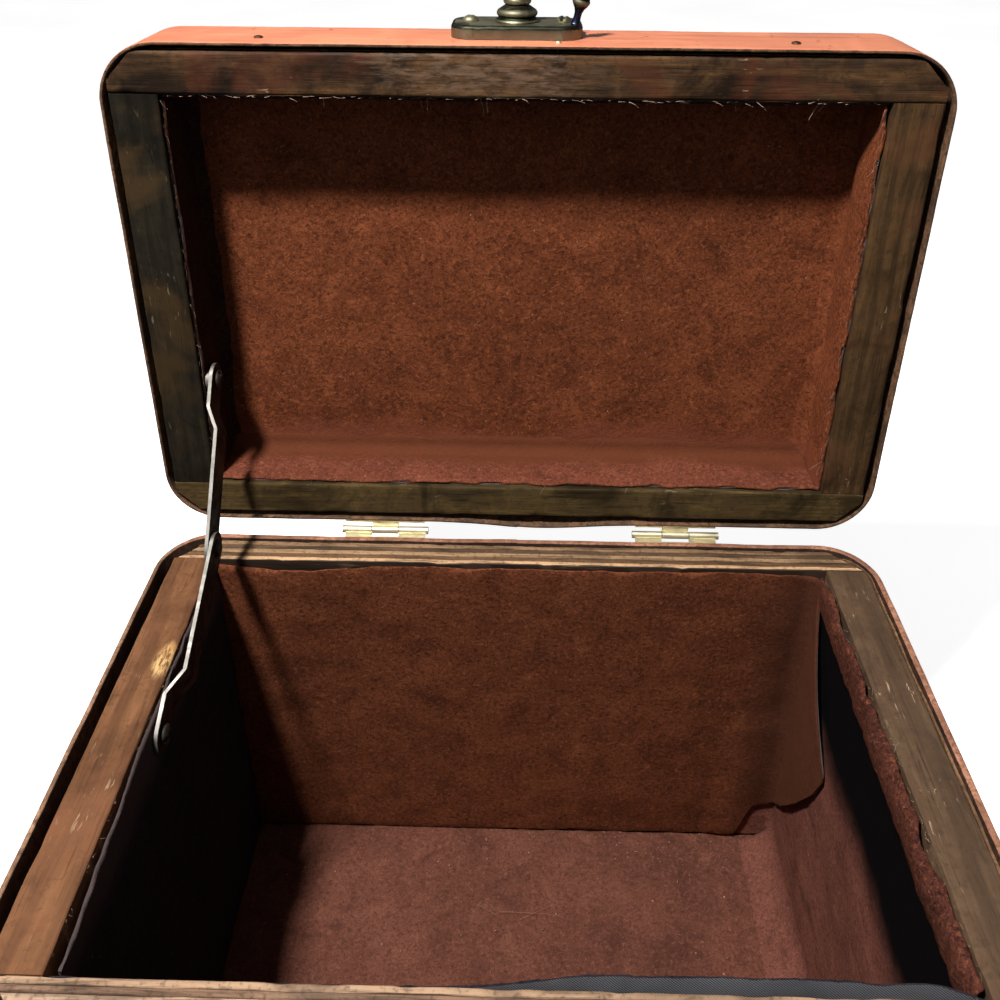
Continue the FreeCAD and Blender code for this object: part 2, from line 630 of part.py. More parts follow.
# Folding stay.
def arm(name, long, step):
    """Strip along +Y with round ends; it starts at x = 0 and steps sideways by step."""
    half = "arm_wide / 2"
    bend = doc.addObject("Part::Wedge", name + "_joggle")
    joggle = {
        "Xmin": "0", "Xmax": "arm_thick", "X2min": step, "X2max": step + " + arm_thick",
        "Ymin": "flat_eye", "Ymax": "flat_eye + joggle_long",
        "Zmin": "0 - " + half, "Zmax": half, "Z2min": "0 - " + half, "Z2max": half,
    }
    for prop, text in joggle.items():
        bind(bend, prop, text)
    pieces = [
        rod(name + "_eye", half, "arm_thick", "0", "0", "0", "+x"),
        block(name + "_flat", "0", "arm_thick", "0", "flat_eye", "0 - " + half, half),
        bend,
        block(name + "_strip", step, step + " + arm_thick", "flat_eye + joggle_long", long,
              "0 - " + half, half),
        rod(name + "_end", half, "arm_thick", step, long, "0", "+x"),
    ]
    holes = [
        rod(name + "_pivot", "pivot_radius + run_gap", "arm_thick + 2 * overrun",
            "0 - overrun", "0", "0", "+x"),
        rod(name + "_knee", "pivot_radius + fit_gap", "arm_thick + 2 * overrun",
            step + " - overrun", long, "0", "+x"),
    ]
    return cut(name, fuse(name + "_raw", *pieces), *holes)


def stand(obj, x, y, z, angle):
    """Turn a piece about X by an angle and set it on its pivot."""
    obj.Placement.Rotation = FreeCAD.Rotation(FreeCAD.Vector(1, 0, 0), value(angle))
    bind(obj, "Placement.Rotation.Angle", angle)
    return place(obj, x, y, z)


lower = stand(arm("lower_strip", "lower_arm", "lower_joggle"),
              "lower_eye_x", "lower_pivot_y", "lower_z", "lower_angle")
keep("stay_lower_arm", lower)
# The upper arm points down from its pivot: a half turn past the line to the knee.
upper_turn = "(upper_angle + 180 deg)"
upper = stand(arm("upper_strip", "upper_arm", "upper_joggle"),
              "upper_eye_x", "up_y", "up_z", upper_turn)
keep("stay_upper_arm", upper)

rivet_head = taper("rivet_head_raw", "rivet_head", "rivet_head * head_top_share", "rivet_rise",
                   "lower_joggle + arm_thick", "lower_arm", "0", "+x")
rivet_shank = rod("rivet_shank", "pivot_radius", "arm_thick", "lower_joggle", "lower_arm", "0",
                  "+x")
rivet = stand(fuse("rivet", rivet_head, rivet_shank),
              "lower_eye_x", "lower_pivot_y", "lower_z", "lower_angle")
keep("stay_knee_rivet", rivet)


def pivot_screw(name, eye_x, y, z):
    """Shouldered screw through an eye into the wall; its head clears the eye."""
    head_x = eye_x + " + arm_thick + side_gap"
    head = taper(name + "_head", "pivot_head", "pivot_head * head_top_share", "pivot_rise",
                 head_x, y, z, "+x")
    shank = rod(name + "_shank", "pivot_radius", "pivot_deep + arm_thick + side_gap",
                head_x, y, z, "-x")
    return fuse(name, head, shank)


keep("stay_lower_screw", pivot_screw("lower_screw", "lower_eye_x", "lower_pivot_y", "lower_z"))
keep("stay_upper_screw", pivot_screw("upper_screw", "upper_eye_x", upper_pivot_y,
                                     "upper_pivot_up"), True)

# A washer holds the upper eye as far out as the lower one, clear of the body's wall
# when the lid is shut.
washer_x = "well_left + felt_thick"
washer = rod("washer_ring", "pivot_head", "upper_eye_x - side_gap - (%s)" % washer_x,
             washer_x, upper_pivot_y, "upper_pivot_up", "+x")
keep("stay_upper_washer", cut("washer_cut", washer, upper_pivot_hole), True)

# Clasp.
plate_body = pad_rectangle("plate_block", "0 - plate_wide / 2", "plate_wide / 2",
                           "0 - plate_tall / 2", "plate_tall / 2", "0", "plate_thick")
dress(plate_body, "Fillet", "Radius", "plate_corner")
tip = plate_body.Tip
bevel = plate_body.newObject("PartDesign::Fillet", "plate_edge")
top_edges = []
for k, edge in enumerate(tip.Shape.Edges, 1):
    if all(abs(v.Point.z - value("plate_thick")) < value("trim_room") for v in edge.Vertexes):
        top_edges.append("Edge%d" % k)
bevel.Base = (tip, top_edges)
bind(bevel, "Radius", "plate_bevel")
plate_body.Tip = bevel
plate_body.Placement.Rotation = TURNS["-y"]
place(plate_body, *clasp_at)
doc.recompute()

post_spot = ("plate_x", "plate_face", "plate_up")
spindle_long = "foot_rise + plate_thick / 2"
spindle_hole = rod("spindle_hole", "post_bore + run_gap", spindle_long + " + overrun",
                   "plate_x", "plate_face + plate_thick / 2", "plate_up", "-y")
lever_x = "(plate_x + lever_out)"
lever_z = "(plate_up - lever_drop)"


def lean(obj):
    """Set a piece that stands on the origin along -Y on the lever's leaning axis."""
    obj.Placement.Rotation = FreeCAD.Rotation(FreeCAD.Vector(0, 0, 1), value("lever_lean"))
    bind(obj, "Placement.Rotation.Angle", "lever_lean")
    return place(obj, lever_x, "plate_face", lever_z)


lever_hole = lean(group("lever_hole", [
    rod("lever_hole_rod", "lever_stem + run_gap", "lever_deep + side_gap + lever_stem_long",
        "0", "lever_deep + side_gap", "0", "-y")]))
keep("clasp_plate", cut("plate_cut", plate_body, plate_holes, spindle_hole, lever_hole), True)

foot = taper("foot_raw", "foot_radius", "neck_radius", "foot_rise", *post_spot, "-y")
keep("clasp_foot", cut("foot_cut", foot, spindle_hole), True)

# The knob turns in the foot: spindle, neck and a head flattened on two sides.
knob_base = "plate_face - foot_rise - side_gap"
spindle = rod("spindle", "post_bore", spindle_long, "plate_x", knob_base, "plate_up", "+y")
knob_neck = rod("knob_neck_raw", "neck_radius", "knob_neck", "plate_x", knob_base,
                "plate_up", "-y")
knob_top = taper("knob_top", "neck_radius", "knob_head", "knob_head_rise", "plate_x",
                 knob_base + " - knob_neck", "plate_up", "-y")
knob_slab = block("knob_slab", "plate_x - knob_head", "plate_x + knob_head",
                  knob_base + " - knob_neck - knob_head_rise", knob_base + " - knob_neck",
                  "plate_up - knob_flat", "plate_up + knob_flat")
knob_flats = common("knob_flats", knob_top, knob_slab)
keep("clasp_knob", fuse("knob_raw", spindle, knob_neck, knob_flats), True)

# The thumb lever turns about its own leaning stem.
stem = rod("stem", "lever_stem", "lever_deep + lever_stem_long", "0", "lever_deep", "0", "-y")
flare = taper("flare", "lever_stem", "lever_collar", "lever_stem_long / 2",
              "0", "0 - lever_stem_long / 2", "0", "-y")
head_round = rod("head_round", "lever_collar", "lever_head_long",
                 "0", "0 - lever_stem_long", "0", "-y")
head_slab = block("head_slab", "0 - lever_collar", "lever_collar",
                  "0 - lever_stem_long - lever_head_long", "0 - lever_stem_long",
                  "0 - lever_flat", "lever_flat")
lever = lean(fuse("lever_raw", stem, flare, common("head_flat", head_round, head_slab)))
keep("clasp_lever", group("lever_on_lid", [lever]), True)

clasp_screws = []
for k, (x, y, z) in enumerate(plate_spots):
    clasp_screws.append(screw("plate_screw_%d" % k, "plate_screw_head", "plate_screw_rise",
                              "screw_shank", "plate_thick + screw_deep", x, "plate_face", z,
                              "+y"))
keep("clasp_screws", group("clasp_screw_pair", clasp_screws), True)

doc.recompute()

# Every feature and shape is sound before anything is written.
for obj in doc.Objects:
    bad = [state for state in obj.State if state in ("Invalid", "Error")]
    if bad:
        raise RuntimeError("%s (%s): %s %s" % (obj.Name, obj.Label, bad, obj.getStatusString()))
for node, obj in nodes.items():
    shape = obj.Shape
    if shape.isNull() or not shape.isValid() or not shape.Solids:
        raise RuntimeError(node + ": empty or invalid shape")
    shape.exportStep("parts/%s.step" % node)
    box = shape.BoundBox
    print("%-24s %d  vol %.1f  x %.1f %.1f  y %.1f %.1f  z %.1f %.1f" % (
        node, len(shape.Solids), shape.Volume, box.XMin, box.XMax, box.YMin, box.YMax,
        box.ZMin, box.ZMax))
print(len(nodes), "nodes")
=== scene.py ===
import bisect
import math
import random

import bmesh
import bpy
from mathutils import Matrix, Vector, noise


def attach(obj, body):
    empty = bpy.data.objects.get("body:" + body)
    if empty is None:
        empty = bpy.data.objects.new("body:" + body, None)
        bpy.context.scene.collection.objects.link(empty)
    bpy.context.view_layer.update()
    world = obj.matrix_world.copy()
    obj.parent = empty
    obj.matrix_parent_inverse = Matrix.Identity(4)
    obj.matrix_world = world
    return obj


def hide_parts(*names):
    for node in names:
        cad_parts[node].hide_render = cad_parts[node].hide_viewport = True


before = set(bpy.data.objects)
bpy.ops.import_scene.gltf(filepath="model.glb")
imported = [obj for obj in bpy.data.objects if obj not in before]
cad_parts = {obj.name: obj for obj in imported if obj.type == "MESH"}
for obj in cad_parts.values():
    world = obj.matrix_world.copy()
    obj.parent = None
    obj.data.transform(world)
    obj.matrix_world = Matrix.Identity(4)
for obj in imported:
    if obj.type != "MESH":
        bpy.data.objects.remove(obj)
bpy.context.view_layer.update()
MM = 0.001

# The box in the CAD frame, in millimetres.
HALF_WIDE = 135.0
HALF_DEEP = 90.0
RIM = 163.85
BAND = 2.2
CORNER = 20.0
FRAME_LEFT, FRAME_RIGHT = -129.2, 130.4
FRAME_FRONT, FRAME_BACK = -86.2, 86.2
ROOM_LEFT, ROOM_RIGHT = -114.3, 115.5
ROOM_FRONT, ROOM_BACK = -76.5, 75.3
ROOM_WIDE, ROOM_DEEP = ROOM_RIGHT - ROOM_LEFT, ROOM_BACK - ROOM_FRONT
LINING_LOW, LINING_HIGH = 9.0, 161.85
LINING_TALL = LINING_HIGH - LINING_LOW
PIN_Y, PIN_Z = 93.6, 164.0
OPEN = math.radians(92.3)
LID_LEFT, LID_RIGHT = -130.2, 129.0
LID_FRONT, LID_BACK = -178.8, -7.4
WELL_LEFT, WELL_RIGHT = -116.1, 114.9
WELL_FRONT, WELL_BACK = -167.4, -20.4
LID_FACE_FRONT = -183.6
# The lid's worn rails reach a little further out than the CAD's.
RAIL_LEFT, RAIL_RIGHT, RAIL_FRONT = LID_LEFT - 1.5, LID_RIGHT + 2.0, LID_FRONT - 1.9
LID_EDGE, LID_TALL = 0.15, 32.4


class Shader:
    """Small builder for a procedural material in object coordinates."""

    def __init__(self, name):
        self.mat = bpy.data.materials.new(name)
        self.mat.use_nodes = True
        self.tree = self.mat.node_tree
        self.tree.nodes.clear()
        self.out = self.tree.nodes.new("ShaderNodeOutputMaterial")
        self.bsdf = self.tree.nodes.new("ShaderNodeBsdfPrincipled")
        self.tree.links.new(self.bsdf.outputs["BSDF"], self.out.inputs["Surface"])
        self.coord = self.tree.nodes.new("ShaderNodeTexCoord").outputs["Object"]
        self.height = None

    def node(self, kind, **props):
        made = self.tree.nodes.new(kind)
        for key, val in props.items():
            setattr(made, key, val)
        return made

    def feed(self, socket, val):
        if isinstance(val, bpy.types.NodeSocket):
            self.tree.links.new(val, socket)
        else:
            socket.default_value = val

    def at(self, scale=(1, 1, 1), turn=(0, 0, 0), shift=(0, 0, 0)):
        made = self.node("ShaderNodeMapping")
        self.feed(made.inputs["Vector"], self.coord)
        made.inputs["Scale"].default_value = scale
        made.inputs["Rotation"].default_value = turn
        made.inputs["Location"].default_value = shift
        return made.outputs["Vector"]

    def texture(self, kind, out, at, **inputs):
        made = self.node("ShaderNodeTex" + kind)
        self.feed(made.inputs["Vector"], at or self.coord)
        for key, val in inputs.items():
            made.inputs[key.replace("_", " ")].default_value = val
        return made.outputs[out]

    def noise(self, scale, detail=4.0, rough=0.55, warp=0.0, at=None):
        return self.texture("Noise", "Fac", at, Scale=scale, Detail=detail, Roughness=rough,
                            Distortion=warp)

    def wave(self, scale, warp, detail, detail_scale, axis, at=None):
        fac = self.texture("Wave", "Fac", at, Scale=scale, Distortion=warp, Detail=detail,
                           Detail_Scale=detail_scale)
        fac.node.bands_direction = axis
        return fac

    def cells(self, scale, at=None):
        return self.texture("Voronoi", "Distance", at, Scale=scale)

    def stretched(self, along, on, off):
        """Coordinates scaled by on along one axis and by off across it."""
        return self.at([on if a == along else off for a in "xyz"])

    def ramp(self, fac, *stops, smooth=True):
        made = self.node("ShaderNodeValToRGB")
        made.color_ramp.interpolation = "EASE" if smooth else "LINEAR"
        points = made.color_ramp.elements
        while len(points) < len(stops):
            points.new(0.5)
        for point, (at, colour) in zip(points, stops):
            point.position = at
            point.color = (*colour, 1) if hasattr(colour, "__len__") else (colour,) * 3 + (1,)
        self.feed(made.inputs["Fac"], fac)
        return made.outputs["Color"]

    def mix(self, fac, one, two, blend="MIX"):
        made = self.node("ShaderNodeMix", data_type="RGBA", blend_type=blend)
        self.feed(made.inputs[0], fac)
        for slot, val in ((6, one), (7, two)):
            if isinstance(val, tuple) and len(val) == 3:
                val = (*val, 1)
            self.feed(made.inputs[slot], val)
        return made.outputs[2]

    def layers(self, tone, *rows):
        """Lay colours over tone; each row is a factor, two (place, share) pairs and a colour."""
        for fac, low, there, high, here, colour in rows:
            tone = self.mix(self.ramp(fac, (low, there), (high, here)), tone, colour)
        return tone

    def math(self, how, one, two=0.0):
        made = self.node("ShaderNodeMath", operation=how)
        self.feed(made.inputs[0], one)
        self.feed(made.inputs[1], two)
        return made.outputs[0]

    def axis(self, name):
        made = self.node("ShaderNodeSeparateXYZ")
        self.feed(made.inputs[0], self.coord)
        return made.outputs[name]

    def span(self, val, low, high, top=1.0):
        """Smooth rise from 0 at low to top at high."""
        made = self.node("ShaderNodeMapRange", interpolation_type="SMOOTHSTEP")
        self.feed(made.inputs["Value"], val)
        for key, number in (("From Min", low), ("From Max", high), ("To Max", top)):
            made.inputs[key].default_value = number
        return made.outputs["Result"]

    def bumps(self, *rows):
        """Pile up bumps; each row is a height, its depth in mm and its strength."""
        for height, depth, strength in rows:
            made = self.node("ShaderNodeBump")
            made.inputs["Strength"].default_value = strength
            made.inputs["Distance"].default_value = depth * MM
            self.feed(made.inputs["Height"], height)
            if self.height is not None:
                self.feed(made.inputs["Normal"], self.height)
            self.height = made.outputs["Normal"]

    def done(self, colour, rough, **fixed):
        self.feed(self.bsdf.inputs["Base Color"], colour)
        self.feed(self.bsdf.inputs["Roughness"], rough)
        if self.height is not None:
            self.feed(self.bsdf.inputs["Normal"], self.height)
        for key, val in fixed.items():
            self.bsdf.inputs[key.replace("_", " ")].default_value = val
        return self.mat


def srgb(red, green, blue):
    """Linear colour of 0-255 screen values."""
    out = []
    for v in (red, green, blue):
        v /= 255
        out.append(v / 12.92 if v <= 0.04045 else ((v + 0.055) / 1.055) ** 2.4)
    return tuple(out)


def times(share, colour):
    return tuple(share * c for c in colour)


def camera():
    eye = (-0.00135, -0.20895, 0.41302)
    yaw, pitch, roll = math.radians(-1.10), math.radians(29.65), math.radians(-0.41)
    ahead = Vector((math.sin(yaw) * math.cos(pitch), math.cos(yaw) * math.cos(pitch),
                    -math.sin(pitch)))
    right = Vector((math.cos(yaw), -math.sin(yaw), 0))
    down = ahead.cross(right)
    x_axis = right * math.cos(roll) + down * math.sin(roll)
    y_axis = right * math.sin(roll) - down * math.cos(roll)
    turn = Matrix((x_axis, y_axis, -ahead)).transposed().to_4x4()
    data = bpy.data.cameras.new("camera")
    data.sensor_width = 36.0
    data.lens = 35.586
    data.shift_y = -0.139
    data.clip_start, data.clip_end = 0.01, 50
    made = bpy.data.objects.new("camera", data)
    made.matrix_world = Matrix.Translation(eye) @ turn
    bpy.context.collection.objects.link(made)
    bpy.context.scene.camera = made


def area_light(name, place, target, size, power, colour):
    data = bpy.data.lights.new(name, "AREA")
    data.shape = "DISK"
    data.size = size
    data.energy = power
    data.color = colour
    made = bpy.data.objects.new(name, data)
    made.location = place
    made.rotation_euler = (Vector(target) - Vector(place)).to_track_quat("-Z", "Y").to_euler()
    bpy.context.collection.objects.link(made)


def glowing(name, scale, low, high, strength, rough):
    """Pale surface that shines by itself, so it stays plain in every view."""
    s = Shader(name)
    tone = s.ramp(s.noise(scale), (0.3, low), (0.7, high))
    s.feed(s.bsdf.inputs["Emission Color"], tone)
    s.bsdf.inputs["Emission Strength"].default_value = strength
    return s.done(tone, rough)


def staged(name, mat, *unseen_by):
    """Make the new object a part of the stage, hidden from the named kinds of ray."""
    made = bpy.context.object
    made.name = name
    made.data.materials.append(mat)
    for ray in unseen_by:
        setattr(made, "visible_" + ray, False)


def studio():
    world = bpy.data.worlds.new("studio")
    world.use_nodes = True
    back = world.node_tree.nodes["Background"]
    back.inputs["Color"].default_value = (0.94, 0.97, 1, 1)
    back.inputs["Strength"].default_value = 0.15
    bpy.context.scene.world = world
    area_light("key", (-0.25, -0.2, 0.92), (0, 0.03, 0.12), 0.085, 12.6, (1, 0.95, 0.89))
    area_light("fill", (-0.8, -1.3, 1.2), (0, 0, 0.15), 1.0, 1.3, (1, 0.97, 0.93))
    bpy.ops.mesh.primitive_plane_add(size=32, location=(0, 0, 0))
    pale = glowing("pale_floor", 3.0, (0.88, 0.88, 0.875), (0.92, 0.92, 0.915), 0.92, 0.85)
    staged("floor", pale, "diffuse", "glossy")
    bpy.ops.mesh.primitive_uv_sphere_add(segments=48, ring_count=24, radius=15)
    pale = glowing("pale_backdrop", 0.05, (0.94, 0.94, 0.94), (0.97, 0.97, 0.97), 1.05, 0.9)
    staged("backdrop", pale, "diffuse", "glossy", "shadow", "transmission")


def felt(name, light, mid, dark, fleck=0.5, overlay=None, pill=1.0, sheen=0.12):
    """Worn felt: pilled fibres, dusty and bald patches, lint.

    The argument after fleck lays a colour along an axis: the axis, where in mm it starts and is
    full, its colour and share; on the back and right body linings it is painted shade, on the left
    one painted light."""
    s = Shader(name)
    broad = s.noise(19, 4, 0.55, 0.3)
    patch = s.noise(70, 5, 0.6, 0.7)
    pills = s.noise(720, 4, 0.62, 0.9)
    fine = s.noise(1700, 3, 0.65, 0.6)
    hair = s.noise(330, 6, 0.78, 3.0)
    tone = s.ramp(broad, (0.3, times(0.86, mid)), (0.7, times(1.14, mid)))
    tone = s.layers(tone, (patch, 0.3, 0.5, 0.5, 0.0, dark), (patch, 0.52, 0.0, 0.75, 0.5, light),
                    (pills, 0.34, 0.75 * pill, 0.52, 0.0, dark),
                    (pills, 0.53, 0.0, 0.7, 0.8 * pill, light),
                    (hair, 0.55, 0.0, 0.72, 0.6 * pill, times(1.45, light)),
                    (fine, 0.3, 0.55, 0.5, 0.0, dark))
    lint = s.cells(330, s.at(shift=(0.3, 0.1, 0.7)))
    spot = s.math("MULTIPLY", s.ramp(lint, (0.06, 1.0), (0.12, 0.0)),
                  s.ramp(s.noise(140, 2), (0.6, 0.0), (0.66, fleck)))
    tone = s.mix(spot, tone, srgb(190, 160, 140))
    if overlay:
        axis, low, high, colour, share = overlay
        wander = 0.02
        where = s.math("ADD", s.axis(axis), s.math("MULTIPLY", s.noise(30, 4), wander))
        tone = s.mix(s.span(where, low * MM + wander / 2, high * MM + wander / 2, share), tone,
                     colour)
    s.bumps((broad, 1.2, 0.4), (patch, 0.5, 0.5), (hair, 0.3, 0.7), (pills, 0.35, 0.9),
            (fine, 0.12, 0.8))
    return s.done(tone, 0.96, Sheen_Weight=sheen, Sheen_Roughness=0.5,
                  Sheen_Tint=(*light, 1), Specular_IOR_Level=0.05)


def twill(name, light, dark):
    """Woven backing with diagonal ribs."""
    s = Shader(name)
    rib = s.wave(760, 0.3, 2.0, 2.0, "DIAGONAL")
    tone = s.mix(s.ramp(rib, (0.25, 0.0), (0.75, 1.0)), dark, light)
    tone = s.layers(tone, (s.noise(60, 4), 0.4, 0.0, 0.75, 0.5, dark))
    s.bumps((rib, 0.25, 0.9), (s.noise(1400, 2, 0.6), 0.08, 0.6))
    return s.done(tone, 0.9, Sheen_Weight=0.15, Specular_IOR_Level=0.2)


def wood(name, light, mid, dark, along, rings=55, scratch=0.35, overlay=None, worn=(), soot=0.5):
    """Old plain wood, its grain along one axis of the object.

    The colour after scratch is that of broad spots; worn lists places (x, y, z, reach, colour)
    rubbed bare."""
    s = Shader(name)
    streak = s.noise(24, 7, 0.66, 0.7, s.stretched(along, 1.0, 13.0))
    pore = s.noise(34, 4, 0.62, 0.3, s.stretched(along, 1.0, 52.0))
    blotch = s.noise(33, 5, 0.6, 1.0)
    cloud = s.noise(90, 5, 0.62, 0.8)
    ring = s.wave(rings, 4.5, 3.0, 1.2, "Y" if along == "x" else "X",
                  s.stretched(along, 0.25, 1.0))
    tone = s.ramp(streak, (0.28, dark), (0.5, mid), (0.74, light))
    tone = s.layers(tone, (cloud, 0.42, 0.0, 0.7, 0.5, light),
                    (s.noise(480, 3, 0.65, 0.4), 0.3, 0.5, 0.5, 0.0, dark),
                    (ring, 0.08, 0.5, 0.5, 0.0, dark),
                    (blotch, 0.36, soot, 0.52, 0.0, times(0.5, dark)))
    if overlay:
        spots = s.noise(27, 4, 0.6, 0.6, s.at(shift=(0.4, 0.2, 0.9)))
        tone = s.layers(tone, (spots, 0.5, 0.0, 0.66, 0.7, overlay))
    tone = s.layers(tone, (pore, 0.3, 0.65, 0.44, 0.0, times(0.4, dark)))
    line = s.noise(190, 3, 0.6, 0.6, s.stretched(along, 0.8, 4.0))
    nick = s.math("MULTIPLY", s.ramp(line, (0.62, 0.0), (0.68, 1.0)),
                  s.ramp(s.noise(45, 3), (0.52, 0.0), (0.66, scratch)))
    tone = s.mix(nick, tone, srgb(186, 160, 132))
    for x, y, z, reach, colour in worn:
        scale = [0.5 if a == along else 1.0 for a in "xyz"]
        away = s.node("ShaderNodeVectorMath", operation="DISTANCE")
        s.feed(away.inputs[0], s.at(scale, shift=[-MM * k * q for k, q in zip(scale, (x, y, z))]))
        near = s.span(away.outputs["Value"], reach * MM, 0.3 * reach * MM)
        chip = s.noise(150, 6, 0.72, 0.3, s.stretched(along, 0.8, 3.4))
        bare = ((0.38, 0.0), (0.54, 0.9)) if reach < 6 else ((0.42, 0.0), (0.66, 0.62))
        tone = s.mix(s.math("MULTIPLY", near, s.ramp(chip, *bare)), tone, colour)
    s.bumps((streak, 0.4, 0.6), (ring, 0.25, 0.3), (cloud, 0.2, 0.4), (pore, 0.12, 0.9))
    return s.done(tone, s.ramp(blotch, (0.3, 0.54), (0.7, 0.84)), Specular_IOR_Level=0.12)


def ply(name, near, far, tones, near_dark=0.0):
    """Edge of plywood: plies of alternate grain side by side between two places on y.

    The last argument is the share of it beside the near face, that face included, which is darker."""
    s = Shader(name)
    wander = 0.0011
    place = s.math("ADD", s.axis("Y"), s.math("MULTIPLY", s.noise(45, 3, 0.5), wander))
    made = s.node("ShaderNodeMapRange")
    s.feed(made.inputs["Value"], place)
    made.inputs["From Min"].default_value = near * MM + wander / 2
    made.inputs["From Max"].default_value = far * MM + wander / 2
    stops = [(near_dark, srgb(46, 32, 23))] if near_dark else []
    for k, tone in enumerate(tones):
        low, high = k / len(tones), (k + 1) / len(tones)
        stops.append((low + 0.015 + (near_dark if k == 0 else 0.0), tone))
        stops.append((high - 0.03, tone))
        if k < len(tones) - 1:
            stops.append((high - 0.004, srgb(48, 30, 18)))
    base = s.ramp(made.outputs["Result"], *stops, smooth=False)
    streak = s.noise(34, 6, 0.68, 0.5, s.stretched("x", 1.0, 12.0))
    grit = s.noise(650, 3, 0.6)
    dirt_and_shade = s.noise(21, 5, 0.6, 0.7)
    tone = s.mix(s.ramp(streak, (0.3, 0.75), (0.58, 0.0)), base, srgb(56, 38, 26), "MULTIPLY")
    tone = s.layers(tone, (streak, 0.58, 0.0, 0.8, 0.5, srgb(205, 175, 140)),
                    (grit, 0.3, 0.5, 0.5, 0.0, srgb(46, 32, 22)),
                    (dirt_and_shade, 0.33, 0.7, 0.5, 0.0, srgb(62, 46, 34)))
    s.bumps((streak, 0.4, 0.7), (grit, 0.12, 0.7))
    return s.done(tone, s.ramp(dirt_and_shade, (0.3, 0.55), (0.7, 0.8)), Specular_IOR_Level=0.3)


def bent_band(name, across, light, mid, dark):
    """Bent strip: fine streaks round the box, worn and handled."""
    s = Shader(name)
    thin = s.stretched(across, 46.0, 1.0)
    streak = s.noise(16, 6, 0.7, 0.3, thin)
    hairline = s.noise(60, 3, 0.6, 0.1, thin)
    cloud = s.noise(30, 5, 0.6, 0.9)
    tone = s.ramp(streak, (0.25, dark), (0.48, mid), (0.72, light))
    tone = s.layers(tone, (cloud, 0.4, 0.0, 0.72, 0.55, light),
                    (hairline, 0.3, 0.5, 0.45, 0.0, times(0.6, dark)))
    speck = s.math("MULTIPLY", s.ramp(s.cells(210), (0.08, 1.0), (0.2, 0.0)),
                   s.ramp(s.noise(70, 2), (0.55, 0.0), (0.62, 0.9)))
    tone = s.mix(speck, tone, srgb(96, 58, 34))
    s.bumps((streak, 0.22, 0.5), (hairline, 0.08, 0.6))
    return s.done(tone, s.ramp(cloud, (0.3, 0.32), (0.7, 0.52)), Coat_Weight=0.25,
                  Coat_Roughness=0.25)


def raw_edge(name, light, dark):
    """Cut edge of a strip, fuzzy with split fibres."""
    s = Shader(name)
    grain = s.noise(420, 5, 0.7, 0.8)
    tone = s.ramp(grain, (0.32, dark), (0.66, light))
    tone = s.layers(tone, (s.noise(48, 4), 0.35, 0.7, 0.6, 0.0, dark))
    s.bumps((grain, 0.3, 0.8))
    return s.done(tone, 0.75, Specular_IOR_Level=0.25)


def split_cane(name, light, mid, dark):
    """Woven split cane, honey brown and varnished."""
    s = Shader(name)
    cloud = s.noise(60, 5, 0.6, 0.5)
    fine = s.noise(700, 4, 0.6, 1.5)
    strand = s.noise(14, 3, 0.6, at=s.at((9, 9, 9)))
    tone = s.ramp(strand, (0.3, dark), (0.5, mid), (0.7, light))
    tone = s.layers(tone, (cloud, 0.4, 0.5, 0.62, 0.0, dark),
                    (fine, 0.3, 0.45, 0.5, 0.0, times(0.5, mid)))
    s.bumps((fine, 0.08, 0.6))
    return s.done(tone, s.ramp(cloud, (0.3, 0.3), (0.7, 0.5)), Coat_Weight=0.3,
                  Coat_Roughness=0.2)


def metal(name, bright, dull, grime, rough, wear_and_highlight, flat_face_shade=None):
    """Handled metal: dull skin, grime in the hollows, bright on the edges, which is worn metal and,
    on the bronze, also a painted highlight.

    The last argument is the colour of a painted shade laid on faces that look along the x axis."""
    s = Shader(name)
    cloud = s.noise(110, 6, 0.65, 0.8)
    brush = s.noise(120, 4, 0.7, at=s.at((1, 9, 9)))
    edge = s.node("ShaderNodeNewGeometry").outputs["Pointiness"]
    tone = s.ramp(cloud, (0.35, grime), (0.52, dull), (0.75, dull))
    tone = s.layers(tone, (brush, 0.5, 0.0, 0.75, 0.5 * wear_and_highlight, bright),
                    (edge, 0.51, 0.0, 0.56, wear_and_highlight, bright), (edge, 0.42, 0.8, 0.49, 0.0, grime))
    if flat_face_shade:
        split = s.node("ShaderNodeSeparateXYZ")
        s.feed(split.inputs[0], s.node("ShaderNodeTexCoord").outputs["Normal"])
        level = s.math("ABSOLUTE", split.outputs["X"])
        dirt_and_shade = s.math("MULTIPLY", s.span(level, 0.35, 0.6), s.ramp(cloud, (0.3, 0.97), (0.75, 0.8)))
        tone = s.mix(dirt_and_shade, tone, flat_face_shade)
    s.bumps((cloud, 0.12, 0.4), (s.noise(1500, 3, 0.6), 0.02, 0.5))
    return s.done(tone, s.ramp(cloud, (0.35, rough + 0.22), (0.7, rough)), Metallic=1.0)


# Meshes are drawn in millimetres: the body's in the CAD frame, the lid's in the frame of the
# shut lid with its origin at the hinge pin.
def on_lid(p):
    """Point of the shut lid's frame, with the lid open."""
    x, y, z = p
    return Vector((x, PIN_Y + y * math.cos(OPEN) + z * math.sin(OPEN),
                   PIN_Z - y * math.sin(OPEN) + z * math.cos(OPEN)))


def n3(x, y, z, scale, seed):
    """Smooth noise from -1 to 1, its features about scale millimetres across."""
    return noise.noise(Vector((x / scale + seed, y / scale - seed, z / scale + 0.5 * seed)))


